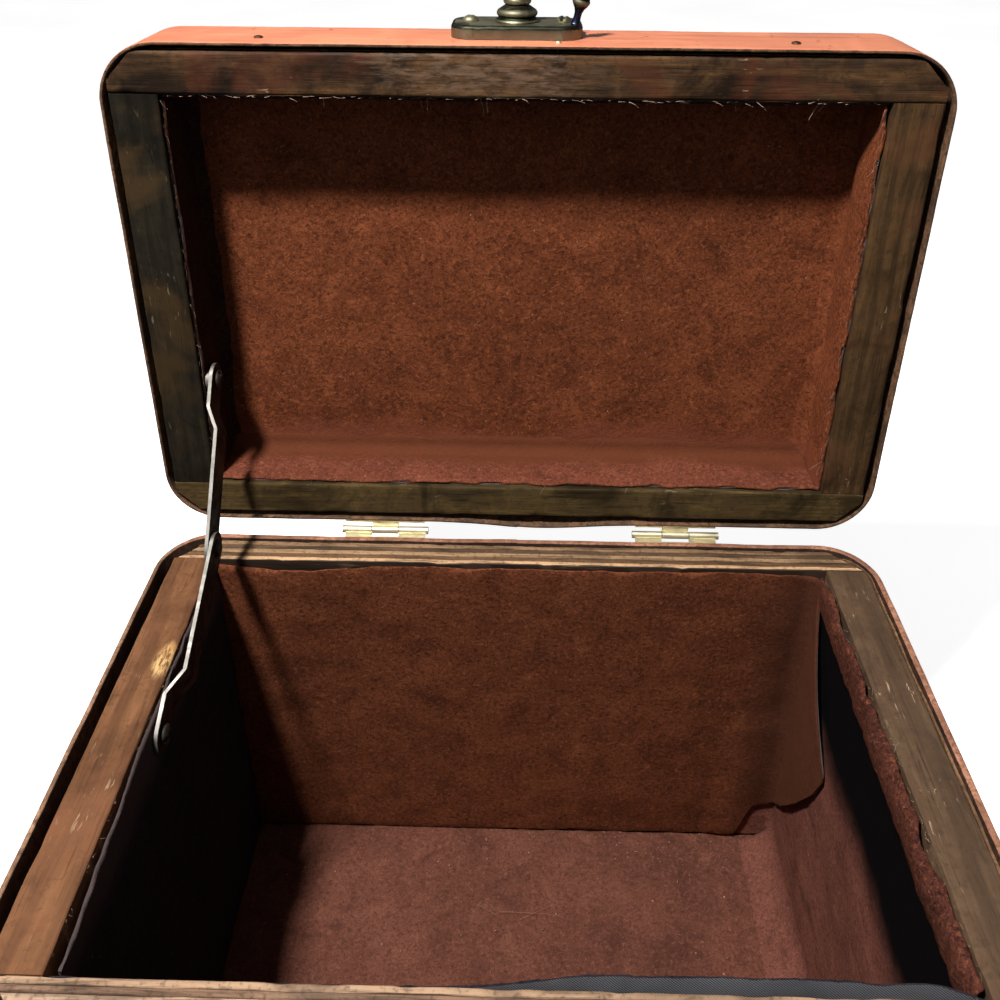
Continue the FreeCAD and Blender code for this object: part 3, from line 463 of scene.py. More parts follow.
class Soup:
    """Points and faces of several closed shapes gathered for one object."""

    def __init__(self):
        self.points, self.faces, self.marks = [], [], []

    def add(self, points, faces, marks):
        """Take in a shape; marks gives each face its material's place."""
        base = len(self.points)
        self.points += points
        self.faces += [tuple(base + k for k in face) for face in faces]
        self.marks += marks

    def sweep(self, rings, mark=0, closed=False):
        """Skin over rings of as many points each; open ends get caps."""
        n, count = len(rings[0]), len(rings)
        side = mark if isinstance(mark, list) else [mark] * n
        faces, marks = [], []
        for k in range(count if closed else count - 1):
            a, b = k * n, ((k + 1) % count) * n
            for j in range(n):
                m = (j + 1) % n
                faces.append((a + j, a + m, b + m, b + j))
            marks += side
        if not closed:
            faces.append(tuple(range(n))[::-1])
            faces.append(tuple((count - 1) * n + j for j in range(n)))
            marks += [side[0], side[0]]
        self.add([p for ring in rings for p in ring], faces, marks)

    def lathe(self, foot, axis, profile, turns, shape=None, dent=0.0, seed=0.0):
        """Turned shape: profile is (height, radius) pairs along axis from foot."""
        axis = Vector(axis).normalized()
        side = axis.orthogonal().normalized()
        other = axis.cross(side)
        rings = []
        for height, radius in profile:
            ring = []
            for k in range(turns):
                a = 2 * math.pi * k / turns
                p = side * math.cos(a) + other * math.sin(a)
                r = radius * (1 + dent * n3(3 * p.x, 3 * p.y, 3 * p.z + height, 1.3, seed))
                q = Vector(foot) + axis * height + p * r
                ring.append(shape(q, height) if shape else q)
            rings.append(ring)
        self.sweep(rings)

    def object(self, name, mats, body, nodes, slot, sharp=35.0):
        """The finished piece, riding on its body and standing for nodes of the CAD."""
        mesh = bpy.data.meshes.new(name)
        points = self.points if body == "box_body" else [on_lid(p) for p in self.points]
        mesh.from_pydata([p * MM for p in points], [], self.faces)
        for mat in mats if isinstance(mats, list) else [mats]:
            mesh.materials.append(mat)
        mesh.polygons.foreach_set("material_index", self.marks)
        work = bmesh.new()
        work.from_mesh(mesh)
        bmesh.ops.recalc_face_normals(work, faces=work.faces)
        for face in work.faces:
            face.smooth = True
        for edge in work.edges:
            if len(edge.link_faces) == 2 and edge.calc_face_angle(0.0) > math.radians(sharp):
                edge.smooth = False
        work.to_mesh(mesh)
        work.free()
        made = bpy.data.objects.new(name, mesh)
        bpy.context.collection.objects.link(made)
        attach(made, body)
        if nodes:
            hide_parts(*nodes)
        return made


def worn_bar(name, ends, b0, b1, outer, mat, seed, step=3.0, cell=1.1, edge=0.7, relief=0.12,
             plies=0, nicks=0.5):
    """Board or rail that runs between its ends along a and from b0 to b1 across.

    With outer given it runs along x and is cut off at 45 degrees towards that side, and
    otherwise it runs along y. Its showing face is a fine grid with worn edges and, in
    plywood, a groove at each line between plies."""
    body, foot, face, cut = (("lid", 30.5, LID_EDGE, 9.0) if name.startswith("lid")
                             else ("box_body", 0.0, RIM, 12.0))
    inward = 1 if face < foot else -1
    groove_wide, groove_deep, clear = 0.28, 0.34, 0.45
    rubbed = 2.0

    def span(b):
        bite = 0.0 if outer is None else max(0.0, cut - abs(b - outer))
        return ends[0] + bite, ends[1] - bite

    def point(a, b, c):
        return Vector((b, a, c) if outer is None else (a, b, c))

    wide = b1 - b0
    count = max(4, int(wide / cell))
    turns = [math.pi / 2 * k / 3 for k in range(4)]
    across = [(edge * (1 - math.cos(t)), edge * (1 - math.sin(t))) for t in turns]
    across += [(edge + (wide - 2 * edge) * k / count, 0.0) for k in range(1, count)]
    across += [(wide - edge * (1 - math.cos(t)), edge * (1 - math.sin(t))) for t in turns[::-1]]
    lines = [wide * k / plies for k in range(1, plies)]
    across = [p for p in across if all(abs(p[0] - line) > clear for line in lines)]
    for line in lines:
        across += [(line - groove_wide, 0.0), (line, groove_deep), (line + groove_wide, 0.0)]
    across.sort()
    low, high = span(b0 + wide / 2)
    steps = max(6, int((high - low) / step))
    rings = []
    for i in range(steps + 1):
        ring = []
        for t, deep in across:
            b = b0 + t
            low, high = span(b)
            a = low + (high - low) * i / steps
            if 0.01 < t < wide - 0.01:
                deep += (relief * (1 + n3(a, b, 0, 16, seed))
                         + 0.5 * relief * (1 + n3(a, b, 7, 3.5, seed)))
            near = min(t, wide - t)
            if near < rubbed:
                bite = max(0.0, n3(a, b, 3, 6.5, seed + 4) - 0.22) * 2.2 * nicks
                deep += bite * (1 - near / rubbed)
            if plies:
                layer = int(plies * t / wide - 1e-6)
                deep += 0.2 * (1 + n3(a, 9.0 * layer, 1, 12, seed + layer))
            ring.append(point(a, b + 0.12 * n3(a, b, 5, 9, seed), face + inward * deep))
        for b in (b1, b0):
            low, high = span(b)
            ring.append(point(low + (high - low) * i / steps, b, foot))
        rings.append(ring)
    soup = Soup()
    soup.sweep(rings)
    soup.object(name, mat, body, [name.rsplit("_", 1)[0]], "plywood" if plies else "solid_wood")


def outline(inset, y_mid, step, bend):
    """Points and outward directions round the box's plan, from the middle of the back."""
    hx, hy, r = HALF_WIDE - inset, HALF_DEEP - inset, CORNER - inset
    runs = [((0, hy), (-(hx - r), hy), (0, 1)), ((-hx, hy - r), (-hx, -(hy - r)), (-1, 0)),
            ((-(hx - r), -hy), (hx - r, -hy), (0, -1)), ((hx, -(hy - r)), (hx, hy - r), (1, 0)),
            ((hx - r, hy), (0, hy), (0, 1))]
    centres = [(-(hx - r), hy - r, 90), (-(hx - r), -(hy - r), 180), (hx - r, -(hy - r), 270),
               (hx - r, hy - r, 0)]
    made = []
    for k, (start, end, way) in enumerate(runs):
        a, b = Vector((*start, 0)), Vector((*end, 0))
        count = max(1, round((b - a).length / step))
        for j in range(count + 1):
            made.append((a.lerp(b, j / count), Vector((*way, 0))))
        if k < 4:
            cx, cy, turn = centres[k]
            for j in range(1, bend):
                a2 = math.radians(turn + 90 * j / bend)
                way2 = Vector((math.cos(a2), math.sin(a2), 0))
                made.append((Vector((cx, cy, 0)) + way2 * r, way2))
    return [(p + Vector((0, y_mid, 0)), w) for p, w in made]


def hoop(name, z0, z1, mats, body, node, seed, y_mid=0.0, lip=0.0, sprung=0.0, frayed=0.0,
         inside=1):
    """Bent band: worn edges, a little twist, and a lapped joint at the back.

    lip is how much thinner the band is at its edge z0 than deeper down, and sprung how far
    it has come away from the back near that edge; frayed is how much thinner its other
    edge is on the left; inside is the place in mats of its inner face's material."""
    tall = z1 - z0
    r = 0.55   # of its edges
    worn_in, worn_down = 0.18, 0.25
    sprung_x, sprung_wide = 9, 23
    profile = []
    for cx, cz, turn in ((BAND - r, r, 270), (BAND - r, tall - r, 0), (r, tall - r, 90),
                         (r, r, 180)):
        for k in range(4):
            a = math.radians(turn + 30 * k)
            profile.append((cx + r * math.cos(a), cz + r * math.sin(a)))
    profile[4:4] = [(BAND, r + (tall - 2 * r) * k / 9) for k in range(1, 9)]
    marks = []
    for one, two in zip(profile, profile[1:] + profile[:1]):
        middle = (one[0] + two[0]) / 2
        marks.append(0 if middle > BAND - 0.3 else inside if middle < 0.05 else 1)
    rings = []
    for i, (p, way) in enumerate(outline(0.0, y_mid, 3.0, 14)):
        ring = []
        for inset, up in profile:
            inset += lip * (1 - inset / BAND) * max(0.0, 1 - up / 7.0)
            q = p - way * (BAND - inset)
            wob = 0.22 * n3(p.x, p.y, up, 34, seed)
            rise = (0.28 * n3(p.x, p.y, 0, 22, seed + 2)
                    + 0.1 * n3(p.x, p.y, inset * 3, 4, seed + 5))
            rough = 0.07 * n3(p.x, p.y, up, 2.6, seed + 9)
            near_top = up > tall / 2
            q = q + way * (wob * 0.6 + rough - worn_in)
            z = z0 + up + (rise - worn_down if near_top else 0.6 * rise + worn_down)
            if i < 4:
                q = q + way * 0.22 * (1 - i / 4)
            if way.x < 0 and frayed:
                q = q + way * frayed * -way.x * (1 - inset / BAND) * max(0, 1 - (tall - up) / 8)
            if way.y > 0.9:
                away = math.exp(-((p.x - sprung_x) / sprung_wide) ** 2)
                q = q + way * sprung * away * max(0, 1 - up / 20)
            ring.append(Vector((q.x, q.y, z)))
        rings.append(ring)
    soup = Soup()
    soup.sweep(rings, marks)
    made = soup.object(name, mats, body, [node], "band")
    if frayed:
        left_end = -0.128
        for face in made.data.polygons:
            if face.material_index == 1 and face.center.x < left_end:
                face.material_index = 2


def strip_ring(place, out, side, wide, thick):
    """Cross-section of a split cane strip: crowned outside, flat inside."""
    half = wide / 2
    return [place + side * half * a + out * thick * b
            for a, b in ((-1, -0.25), (-0.72, 0.32), (0, 0.5), (0.72, 0.32), (1, -0.25),
                         (0, -0.5))]


UP = Vector((0, 0, 1))
STAKE_PITCH, WEAVER_PITCH = 6.6, 5.4
STAKE, WEAVER = 0.62, 0.9   # widths of the strips as shares of their pitch


def woven_wall(name, mats, body, nodes, slot):
    """Cane weave round the body: uprights and weavers, over one and under one."""
    soup = Soup()
    path = outline(3.0, 0.0, 2.0, 10)
    lengths = [0.0]
    for (a, _), (b, _) in zip(path, path[1:]):
        lengths.append(lengths[-1] + (b - a).length)
    total = lengths[-1]

    def spot(d):
        """Point and outward direction at the distance d round the wall."""
        d %= total
        k = min(bisect.bisect_right(lengths, d), len(lengths) - 1) - 1
        share = (d - lengths[k]) / max(1e-6, lengths[k + 1] - lengths[k])
        (p, w), (q, v) = path[k:k + 2]
        return p.lerp(q, share), w.lerp(v, share).normalized()

    count = 2 * round(total / STAKE_PITCH / 2)
    pitch = total / count
    rows = 25
    low, high = 17.0, 145.0
    lift = (high - low) / rows
    swing, thick = 0.34, 0.5
    for j in range(rows):
        z = low + lift * (j + 0.5)
        rings = []
        for k in range(count * 4):
            d = pitch * k / 4
            p, w = spot(d)
            wave = swing * math.cos(math.pi * d / pitch + math.pi * j)
            dz = 0.25 * n3(p.x, p.y, z, 15, 3.1)
            rings.append(strip_ring(Vector((p.x, p.y, z + dz)) + w * wave, w, UP,
                                    lift * WEAVER, thick))
        soup.sweep(rings, 0, closed=True)
    for k in range(count):
        p, w = spot(pitch * k)
        side = UP.cross(w)
        rings = []
        steps = rows * 3
        for j in range(steps + 1):
            z = low + (high - low) * j / steps
            row = (z - low) / lift - 0.5
            wave = -swing * math.cos(math.pi * row + math.pi * k)
            slip = 0.2 * n3(p.x * 2, p.y * 2, z, 20, 8.4)
            rings.append(strip_ring(Vector((p.x, p.y, z)) + w * wave + side * slip, w, side,
                                    pitch * STAKE, thick))
        soup.sweep(rings, 1 if k % 5 == 0 else 0)
    # The thin core behind the weave, its wavy upper edge beside the rim.
    rings = []
    core_low, core_high = 2.4, 161.6
    foot = UP * core_low
    for p, w in outline(3.55, 0.0, 3.0, 10)[:-1]:
        top = core_high + 0.9 * n3(p.x, p.y, 0, 21, 6.0) + 0.3 * n3(p.x, p.y, 0, 5, 1.0)
        fat = 0.0
        if w.x > 0.5:
            top += 1.3 * w.x + 0.5 * n3(p.x, p.y, 0, 11, 4.0)
            fat = (0.08 + 0.2 * n3(p.x, p.y, 0, 9, 5.0)) * w.x
        if w.x < -0.5:
            top -= 3.0
        wob = 0.16 * n3(p.x, p.y, 4, 18, 2.0)
        outer, inner = p + w * (0.1 + fat + wob), p + w * (-0.35 - fat + wob)
        rings.append([outer + foot, outer + UP * top, inner + UP * (top - 0.15), inner + foot])
    soup.sweep(rings, 2, closed=True)
    soup.object(name, mats, body, nodes, slot, sharp=60)


def woven_top(name, mats, body, nodes, slot):
    """Cane sheet over the lid: strips clipped to its rounded plan, turned down at the rim."""
    soup = Soup()
    hx, hy, r = HALF_WIDE - BAND - 0.3, HALF_DEEP - BAND - 0.3, CORNER - BAND - 0.3
    mid_y = -PIN_Y
    level, core_top, core_under, skirt_low = 31.65, 31.0, 30.6, 4.6
    swing, thick = 0.2, 0.42

    def reach(offset, half, other):
        """Half length of a strip at this offset from the middle."""
        inside = abs(offset) - (half - r)
        if inside <= 0:
            return other
        if inside >= r:
            return other - r
        return other - r + math.sqrt(r * r - inside * inside)

    nx = 2 * round(2 * hx / STAKE_PITCH / 2) + 1
    ny = 2 * round(2 * hy / WEAVER_PITCH / 2) + 1
    px, py = 2 * hx / nx, 2 * hy / ny

    def strips(along_x, number, pitch, half, other, cross, count, swing, wide, seed):
        """Strips side by side, each crossed by strips of the pitch cross."""
        for j in range(number):
            b = -half + pitch * (j + 0.5)
            end = reach(b, half, other) - 0.4
            rings = []
            for i in range(count + 1):
                a = -end + 2 * end * i / count
                wave = swing * math.cos(math.pi * (a + other) / cross - math.pi / 2 + math.pi * j)
                if along_x:
                    place = Vector((a, mid_y + b + 0.2 * n3(a, b, 0, 15, seed), level + wave))
                else:
                    place = Vector((b + 0.2 * n3(b, a, 5, 15, seed), mid_y + a, level + wave))
                side = Vector((0, 1, 0) if along_x else (1, 0, 0))
                rings.append(strip_ring(place, UP, side, pitch * wide, thick))
            soup.sweep(rings, 1 if not along_x and j % 5 == 0 else 0)

    strips(True, ny, py, hy, hx, px, nx * 4, swing, WEAVER, 4.4)
    strips(False, nx, px, hx, hy, py, ny * 3, -swing, STAKE, 2.4)
    rings = []
    plan = outline(2.6, mid_y, 4.0, 10)[:-1]
    for p, w in plan:
        edge = UP * (skirt_low + 1.1 * n3(p.x, p.y, 2, 19, 3.0))
        inner = p - w * 0.9
        rings.append([p + edge, p + UP * core_top, inner + UP * (core_top - 0.25), inner + edge])
    n = len(rings)
    soup.sweep(rings, 2, closed=True)
    sheet = [p - w * 0.85 + UP * z for z in (core_top, core_under) for p, w in plan]
    faces = [tuple(range(n)), tuple(range(2 * n - 1, n - 1, -1))]
    faces += [(k, n + k, n + (k + 1) % n, (k + 1) % n) for k in range(n)]
    soup.add(sheet, faces, [2] * len(faces))
    soup.object(name, mats, body, nodes, slot, sharp=60)


def cloth(name, at, nu, nv, mats, body, node, seed, lump, fray, thick=1.2):
    """Sheet of felt: at(u, v) is a point of its middle surface.

    fray gives the raggedness in mm of the edges at u=0, u=1, v=0 and v=1."""
    # The face that shows looks towards the middle of its room.
    room = Vector((0, 0, 85) if body == "box_body" else (0, -94, -60))
    grid = [(i, j) for i in range(nu + 1) for j in range(nv + 1)]
    mid = {(i, j): Vector(at(i / nu, j / nv)) for i, j in grid}

    def normal(i, j):
        a = mid[min(i + 1, nu), j] - mid[max(i - 1, 0), j]
        b = mid[i, min(j + 1, nv)] - mid[i, max(j - 1, 0)]
        return a.cross(b).normalized()

    def frayed(i, j):
        """Place of a point once its edges have worn back."""
        p = mid[i, j]
        place = p.copy()
        for k, (on_edge, inner) in enumerate(((i == 0, (i + 1, j)), (i == nu, (i - 1, j)),
                                              (j == 0, (i, j + 1)), (j == nv, (i, j - 1)))):
            if on_edge and fray[k]:
                pull = fray[k] * (0.75 * n3(p.x, p.y, p.z, 7, seed + k) - 0.55
                                  + 0.5 * n3(p.x, p.y, p.z, 1.7, seed + 3 * k))
                place = place + (p - mid[inner]).normalized() * min(pull, 0.35 * fray[k])
        return place

    centre = (nu // 2, nv // 2)
    turned = -1 if normal(*centre).dot(room - mid[centre]) < 0 else 1
    front, back = [], []
    for i, j in grid:
        out = normal(i, j) * turned
        p = frayed(i, j)
        rim = i in (0, nu) or j in (0, nv)
        half = thick / 2 * (0.5 + 0.35 * n3(p.x, p.y, p.z, 3, seed + 8) if rim else 1.0)
        rough = 0.0 if rim else (lump * n3(p.x, p.y, p.z, 11, seed)
                                 + 0.35 * lump * n3(p.x, p.y, p.z, 3.2, seed + 5))
        front.append(p + out * (half + rough))
        back.append(p - out * half)
    n, total = nv + 1, len(grid)
    faces, marks, rims = [], [], []
    for i in range(nu):
        for j in range(nv):
            a = i * n + j
            b = total + a
            faces += [(a, a + n, a + n + 1, a + 1), (b, b + 1, b + n + 1, b + n)]
            marks += [0, 1]
    for j in range(nv):
        a = nu * n + j
        rims += [(j, j + 1), (a + 1, a)]
    for i in range(nu):
        a = i * n
        rims += [(a + n, a), (a + nv, a + nv + n)]
    faces += [(a, b, total + b, total + a) for a, b in rims]
    soup = Soup()
    soup.add(front + back, faces, marks + [0] * len(rims))
    made = soup.object(name, mats, body, [node], "felt", sharp=75)
    return made


def threads(name, roots, mat, body, seed):
    """Loose fibres: thin three-sided tubes that curl from a root along a way."""
    rng = random.Random(seed)

    def jolt():
        return Vector([rng.uniform(-1, 1) for _ in range(3)])

    soup = Soup()
    for root, way, long, thick, curl in roots:
        p = Vector(root)
        way = Vector(way).normalized()
        drift = jolt()
        rings = []
        steps = 5 if long < 6 else 16
        for k in range(steps + 1):
            side = way.orthogonal().normalized()
            other = way.cross(side)
            r = thick / 2 * (1 - 0.7 * k / steps)
            rings.append([p + (side * math.cos(t) + other * math.sin(t)) * r
                          for t in (0.3, 2.4, 4.5)])
            drift += jolt() * 0.5
            way = (way + drift * curl / steps).normalized()
            p = p + way * long / steps
        soup.sweep(rings)
    soup.object(name, mat, body, (), "felt", sharp=80)


# The box's materials: light, middle and dark colours, then how worn each is; a few also carry
# painted shade or painted light, noted at each.
# The lid's ceiling turns pinker and a little lighter towards its lower edge, below z 200 mm.
FELT_LID = felt("felt_lid", srgb(140, 80, 51), srgb(107, 58, 36), srgb(60, 30, 20), 0.5,
                ("Z", 200, 187, srgb(112, 62, 46), 0.8))
# The strip along the lid's back is darker deeper in, from y 106 to 115 mm, towards the ceiling.
FELT_STRIP = felt("felt_strip", srgb(136, 82, 62), srgb(106, 59, 44), srgb(66, 35, 26),
                  overlay=("Y", 106, 115, srgb(88, 48, 31), 0.9))
# Painted shade: the back felt darkens towards its right end, from x 84 to 112 mm, over the corner
# and the flap past it.
FELT_BACK = felt("felt_back", srgb(134, 80, 53), srgb(104, 58, 38), srgb(58, 30, 21), 0.3,
                 overlay=("X", 84, 112, srgb(60, 36, 28), 0.75))
FELT_FLOOR = felt("felt_floor", srgb(128, 84, 69), srgb(101, 63, 52), srgb(64, 38, 32), 1.0,
                  pill=0.8)
# Painted shade: near-black grey-purple felt for the body's left and front linings, which lie in
# shade. The left one's lighter band from z 141 to 153 mm is painted light along its top.
PAINTED_SHADE_TONES = (srgb(56, 50, 56), srgb(42, 38, 44), srgb(22, 20, 24))
FELT_SIDE = felt("felt_side", *PAINTED_SHADE_TONES, 0.4)
FELT_LEFT = felt("felt_left", *PAINTED_SHADE_TONES, 0.4, ("Z", 141, 153, srgb(74, 64, 64), 0.9))
# Painted shade: from z 100 mm, full by 121 mm, the right felt turns near-black; it has no sheen.
FELT_RIGHT = felt("felt_right", srgb(138, 88, 74), srgb(112, 70, 60), srgb(70, 43, 37), 0.8,
                  ("Z", 100, 121, srgb(7, 6, 8), 1.0), pill=0.8, sheen=0.0)
FELT_PEEL = felt("felt_peel", srgb(122, 72, 52), srgb(74, 42, 34), srgb(30, 17, 17))
# Painted shade: a darker copy of the lid's felt for the lid's front and left walls, which lie in
# shade.
FELT_PAINTED_SHADE = felt("felt_painted_shade", srgb(70, 44, 34), srgb(52, 32, 25), srgb(28, 17, 15), 0.5)
TWILL = twill("twill_backing", srgb(104, 106, 114), srgb(34, 35, 41))
WOOD_LEFT = wood("wood_left", srgb(126, 88, 61), srgb(106, 72, 48), srgb(80, 53, 36), "y",
                 rings=30, soot=0.3, overlay=srgb(112, 74, 52),
                 worn=[(-117.0, 23.6, 163.8, 4.2, srgb(208, 172, 118)),
                       (-116.4, 28.6, 163.8, 3.0, srgb(188, 148, 96))])
WOOD_RIGHT = wood("wood_right", srgb(100, 80, 62), srgb(84, 65, 50), srgb(64, 50, 39), "y",
                  rings=30, soot=0.15, scratch=0.7)
WOOD_FLOOR = wood("wood_floor", srgb(150, 118, 88), srgb(118, 90, 66), srgb(80, 60, 44), "x")
LID_WOOD_LEFT = wood("lid_wood_left", srgb(46, 39, 26), srgb(31, 27, 19), srgb(18, 16, 12), "z",
                     soot=0.5, overlay=srgb(62, 46, 26), scratch=0.2)
LID_WOOD_RIGHT = wood("lid_wood_right", srgb(98, 72, 44), srgb(74, 54, 33), srgb(45, 33, 21),
                      "z", overlay=srgb(90, 58, 38), scratch=0.5)
LID_WOOD_FRONT = wood("lid_wood_front", srgb(100, 72, 44), srgb(61, 43, 28), srgb(30, 22, 16),
                      "x", rings=95, scratch=0.5, soot=0.85, overlay=srgb(78, 41, 26),
                      worn=[(-6, 103, 341, 22, srgb(114, 91, 75)),
                            (-34, 103, 343, 16, srgb(102, 82, 65))])
LID_WOOD_BACK = wood("lid_wood_back", srgb(96, 78, 46), srgb(70, 56, 33), srgb(40, 32, 20), "x",
                     soot=0.7)
# Darker beside its inner face, and on that face, where the felt's top edge meets it.
PLY_BACK = ply("ply_back", ROOM_BACK, FRAME_BACK,
               [srgb(196, 158, 120), srgb(104, 78, 54), srgb(158, 128, 96), srgb(88, 66, 48),
                srgb(140, 112, 84)], near_dark=0.03)
PLY_FRONT = ply("ply_front", FRAME_FRONT, ROOM_FRONT,
                [srgb(176, 146, 120), srgb(132, 106, 86), srgb(178, 150, 126),
                 srgb(128, 100, 80), srgb(168, 138, 112)])
BAND_BODY = bent_band("band_body", "z", srgb(222, 152, 116), srgb(204, 124, 88),
                      srgb(150, 82, 54))
BAND_LID = bent_band("band_lid", "y", srgb(220, 142, 108), srgb(202, 122, 90),
                     srgb(156, 84, 60))
BAND_EDGE = raw_edge("band_edge", srgb(178, 128, 104), srgb(108, 72, 54))
BAND_INSIDE = raw_edge("band_inside", srgb(84, 58, 44), srgb(34, 24, 18))
LEFT_EDGE = raw_edge("left_band_edge", srgb(156, 122, 98), srgb(92, 66, 50))
LID_EDGE_MAT = raw_edge("lid_band_edge", srgb(120, 88, 64), srgb(52, 38, 28))
CANE = split_cane("cane", srgb(196, 142, 84), srgb(164, 108, 58), srgb(112, 68, 34))
CANE_DARK = split_cane("cane_dark", srgb(150, 94, 50), srgb(118, 70, 36), srgb(76, 44, 24))
CORE = raw_edge("cane_core", srgb(134, 102, 74), srgb(78, 56, 38))
# Its bright edges are partly worn metal and partly a painted highlight.
BRONZE = metal("bronze", srgb(144, 140, 118), srgb(37, 41, 33), srgb(17, 18, 16), 0.4, 0.75)
PALE_BRONZE = metal("pale_bronze", srgb(176, 172, 146), srgb(92, 90, 73), srgb(38, 37, 30),
                    0.38, 0.6)
DULL_SCREW = metal("dull_screw", srgb(112, 106, 96), srgb(46, 44, 40), srgb(20, 19, 17), 0.5,
                   0.4)
NAVY = metal("blued_steel", srgb(86, 94, 122), srgb(34, 38, 60), srgb(15, 16, 25), 0.32, 0.5)
# Painted shade: the stay arms' broad faces, looking along x, are laid near-black.
STEEL = metal("steel", srgb(160, 158, 154), srgb(50, 48, 46), srgb(24, 22, 20), 0.5, 0.7,
              flat_face_shade=srgb(26, 25, 26))
BRASS = metal("brass", srgb(236, 232, 204), srgb(196, 190, 158), srgb(110, 100, 76), 0.4, 0.7)
NAIL = metal("nail", srgb(120, 96, 72), srgb(66, 50, 38), srgb(28, 20, 16), 0.5, 0.4)


def carry(mat, bevel, *nodes):
    """Keep CAD nodes, with worn edges and a material of their own."""
    for node in nodes:
        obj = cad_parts[node]
        for slot in obj.material_slots:
            slot.material = mat
        if not obj.material_slots:
            obj.data.materials.append(mat)
        made = obj.modifiers.new("worn_edges", "BEVEL")
        made.width = bevel * MM
        made.segments = 2
        made.limit_method = "ANGLE"
        made.angle_limit = math.radians(40)


def frames():
    """Boards of the body and rails of the lid."""
    gap = 0.1
    body_wide, body_side = (FRAME_LEFT, FRAME_RIGHT), (ROOM_FRONT + gap, ROOM_BACK - gap)
    lid_wide, lid_side = (RAIL_LEFT, RAIL_RIGHT), (WELL_FRONT + gap, WELL_BACK - gap)
    plywood = {"plies": 5, "edge": 0.5, "cell": 0.8, "step": 2.0}
    for seed, (name, ends, b0, b1, outer, mat, looks) in enumerate((
            ("back_board_ply", body_wide, ROOM_BACK, FRAME_BACK, FRAME_BACK, PLY_BACK,
             {**plywood, "nicks": 0.9}),
            ("front_board_ply", body_wide, FRAME_FRONT, ROOM_FRONT, FRAME_FRONT, PLY_FRONT,
             {**plywood, "nicks": 0.7}),
            ("left_board_wood", body_side, FRAME_LEFT, ROOM_LEFT, None, WOOD_LEFT,
             {"nicks": 0.8, "relief": 0.16}),
            ("right_board_wood", body_side, ROOM_RIGHT, FRAME_RIGHT, None, WOOD_RIGHT,
             {"nicks": 0.8, "relief": 0.16}),
            ("lid_front_rail_wood", lid_wide, RAIL_FRONT, WELL_FRONT, RAIL_FRONT,
             LID_WOOD_FRONT, {"nicks": 1.3, "relief": 0.3, "edge": 0.9}),
            ("lid_back_rail_wood", lid_wide, WELL_BACK, LID_BACK, LID_BACK, LID_WOOD_BACK,
             {"nicks": 0.8, "relief": 0.2}),
            ("lid_left_rail_wood", lid_side, RAIL_LEFT, WELL_LEFT, None, LID_WOOD_LEFT,
             {"nicks": 1.0, "relief": 0.2}),
            ("lid_right_rail_wood", lid_side, WELL_RIGHT, RAIL_RIGHT, None, LID_WOOD_RIGHT,
             {"nicks": 1.1, "relief": 0.2})), 1):
        worn_bar(name, ends, b0, b1, outer, mat, seed, **looks)
    carry(WOOD_FLOOR, 0.4, "bottom_board")
    carry(WOOD_FLOOR, 0.3, "lid_top_board")


def bands():
    rim_low, base_high = 139.85, 22.0
    hoop("rim_band_strip", rim_low, RIM, [BAND_BODY, BAND_EDGE, LEFT_EDGE, BAND_INSIDE],
         "box_body", "rim_band", seed=1.3, frayed=0.7, inside=3)
    hoop("base_band_strip", 0.0, base_high, [BAND_BODY, BAND_EDGE], "box_body", "base_band",
         seed=2.9)
    hoop("lid_band_strip", LID_EDGE, LID_TALL, [BAND_LID, LID_EDGE_MAT], "lid", "lid_band",
         y_mid=-PIN_Y, seed=4.1, lip=1.15, sprung=2.0)
    woven_wall("cane_weave", [CANE, CANE_DARK, CORE], "box_body", ["cane_skin"], "cane")
    woven_top("lid_cane_weave", [CANE, CANE_DARK, CORE], "lid", ["lid_cane_skin"], "cane")


def between(t, rows):
    """Value at t in rows of (place, value), straight from one row to the next."""
    for (a, p), (b, q) in zip(rows, rows[1:]):
        if t <= b:
            return p + (q - p) * ((t - a) / (b - a))
    return rows[-1][1]


def waves(x, y, z, *rows):
    """Sum of smooth noises; each row is a height, a scale and a seed."""
    return sum(height * n3(x, y, z, scale, seed) for height, scale, seed in rows)


def floor_lining():
    def floor(u, v):
        x = ROOM_LEFT + 0.4 + (ROOM_WIDE - 0.8) * u
        y = ROOM_FRONT + 0.4 + (ROOM_DEEP - 0.8) * v
        return x, y, 8.35 + max(-0.1, waves(x, y, 0, (0.5, 38, 2.0), (0.35, 15, 4.0)))

    cloth("floor_felt", floor, 120, 80, [FELT_FLOOR, TWILL], "box_body", "floor_lining",
          seed=1.0, lump=0.3, fray=(0.8,) * 4)


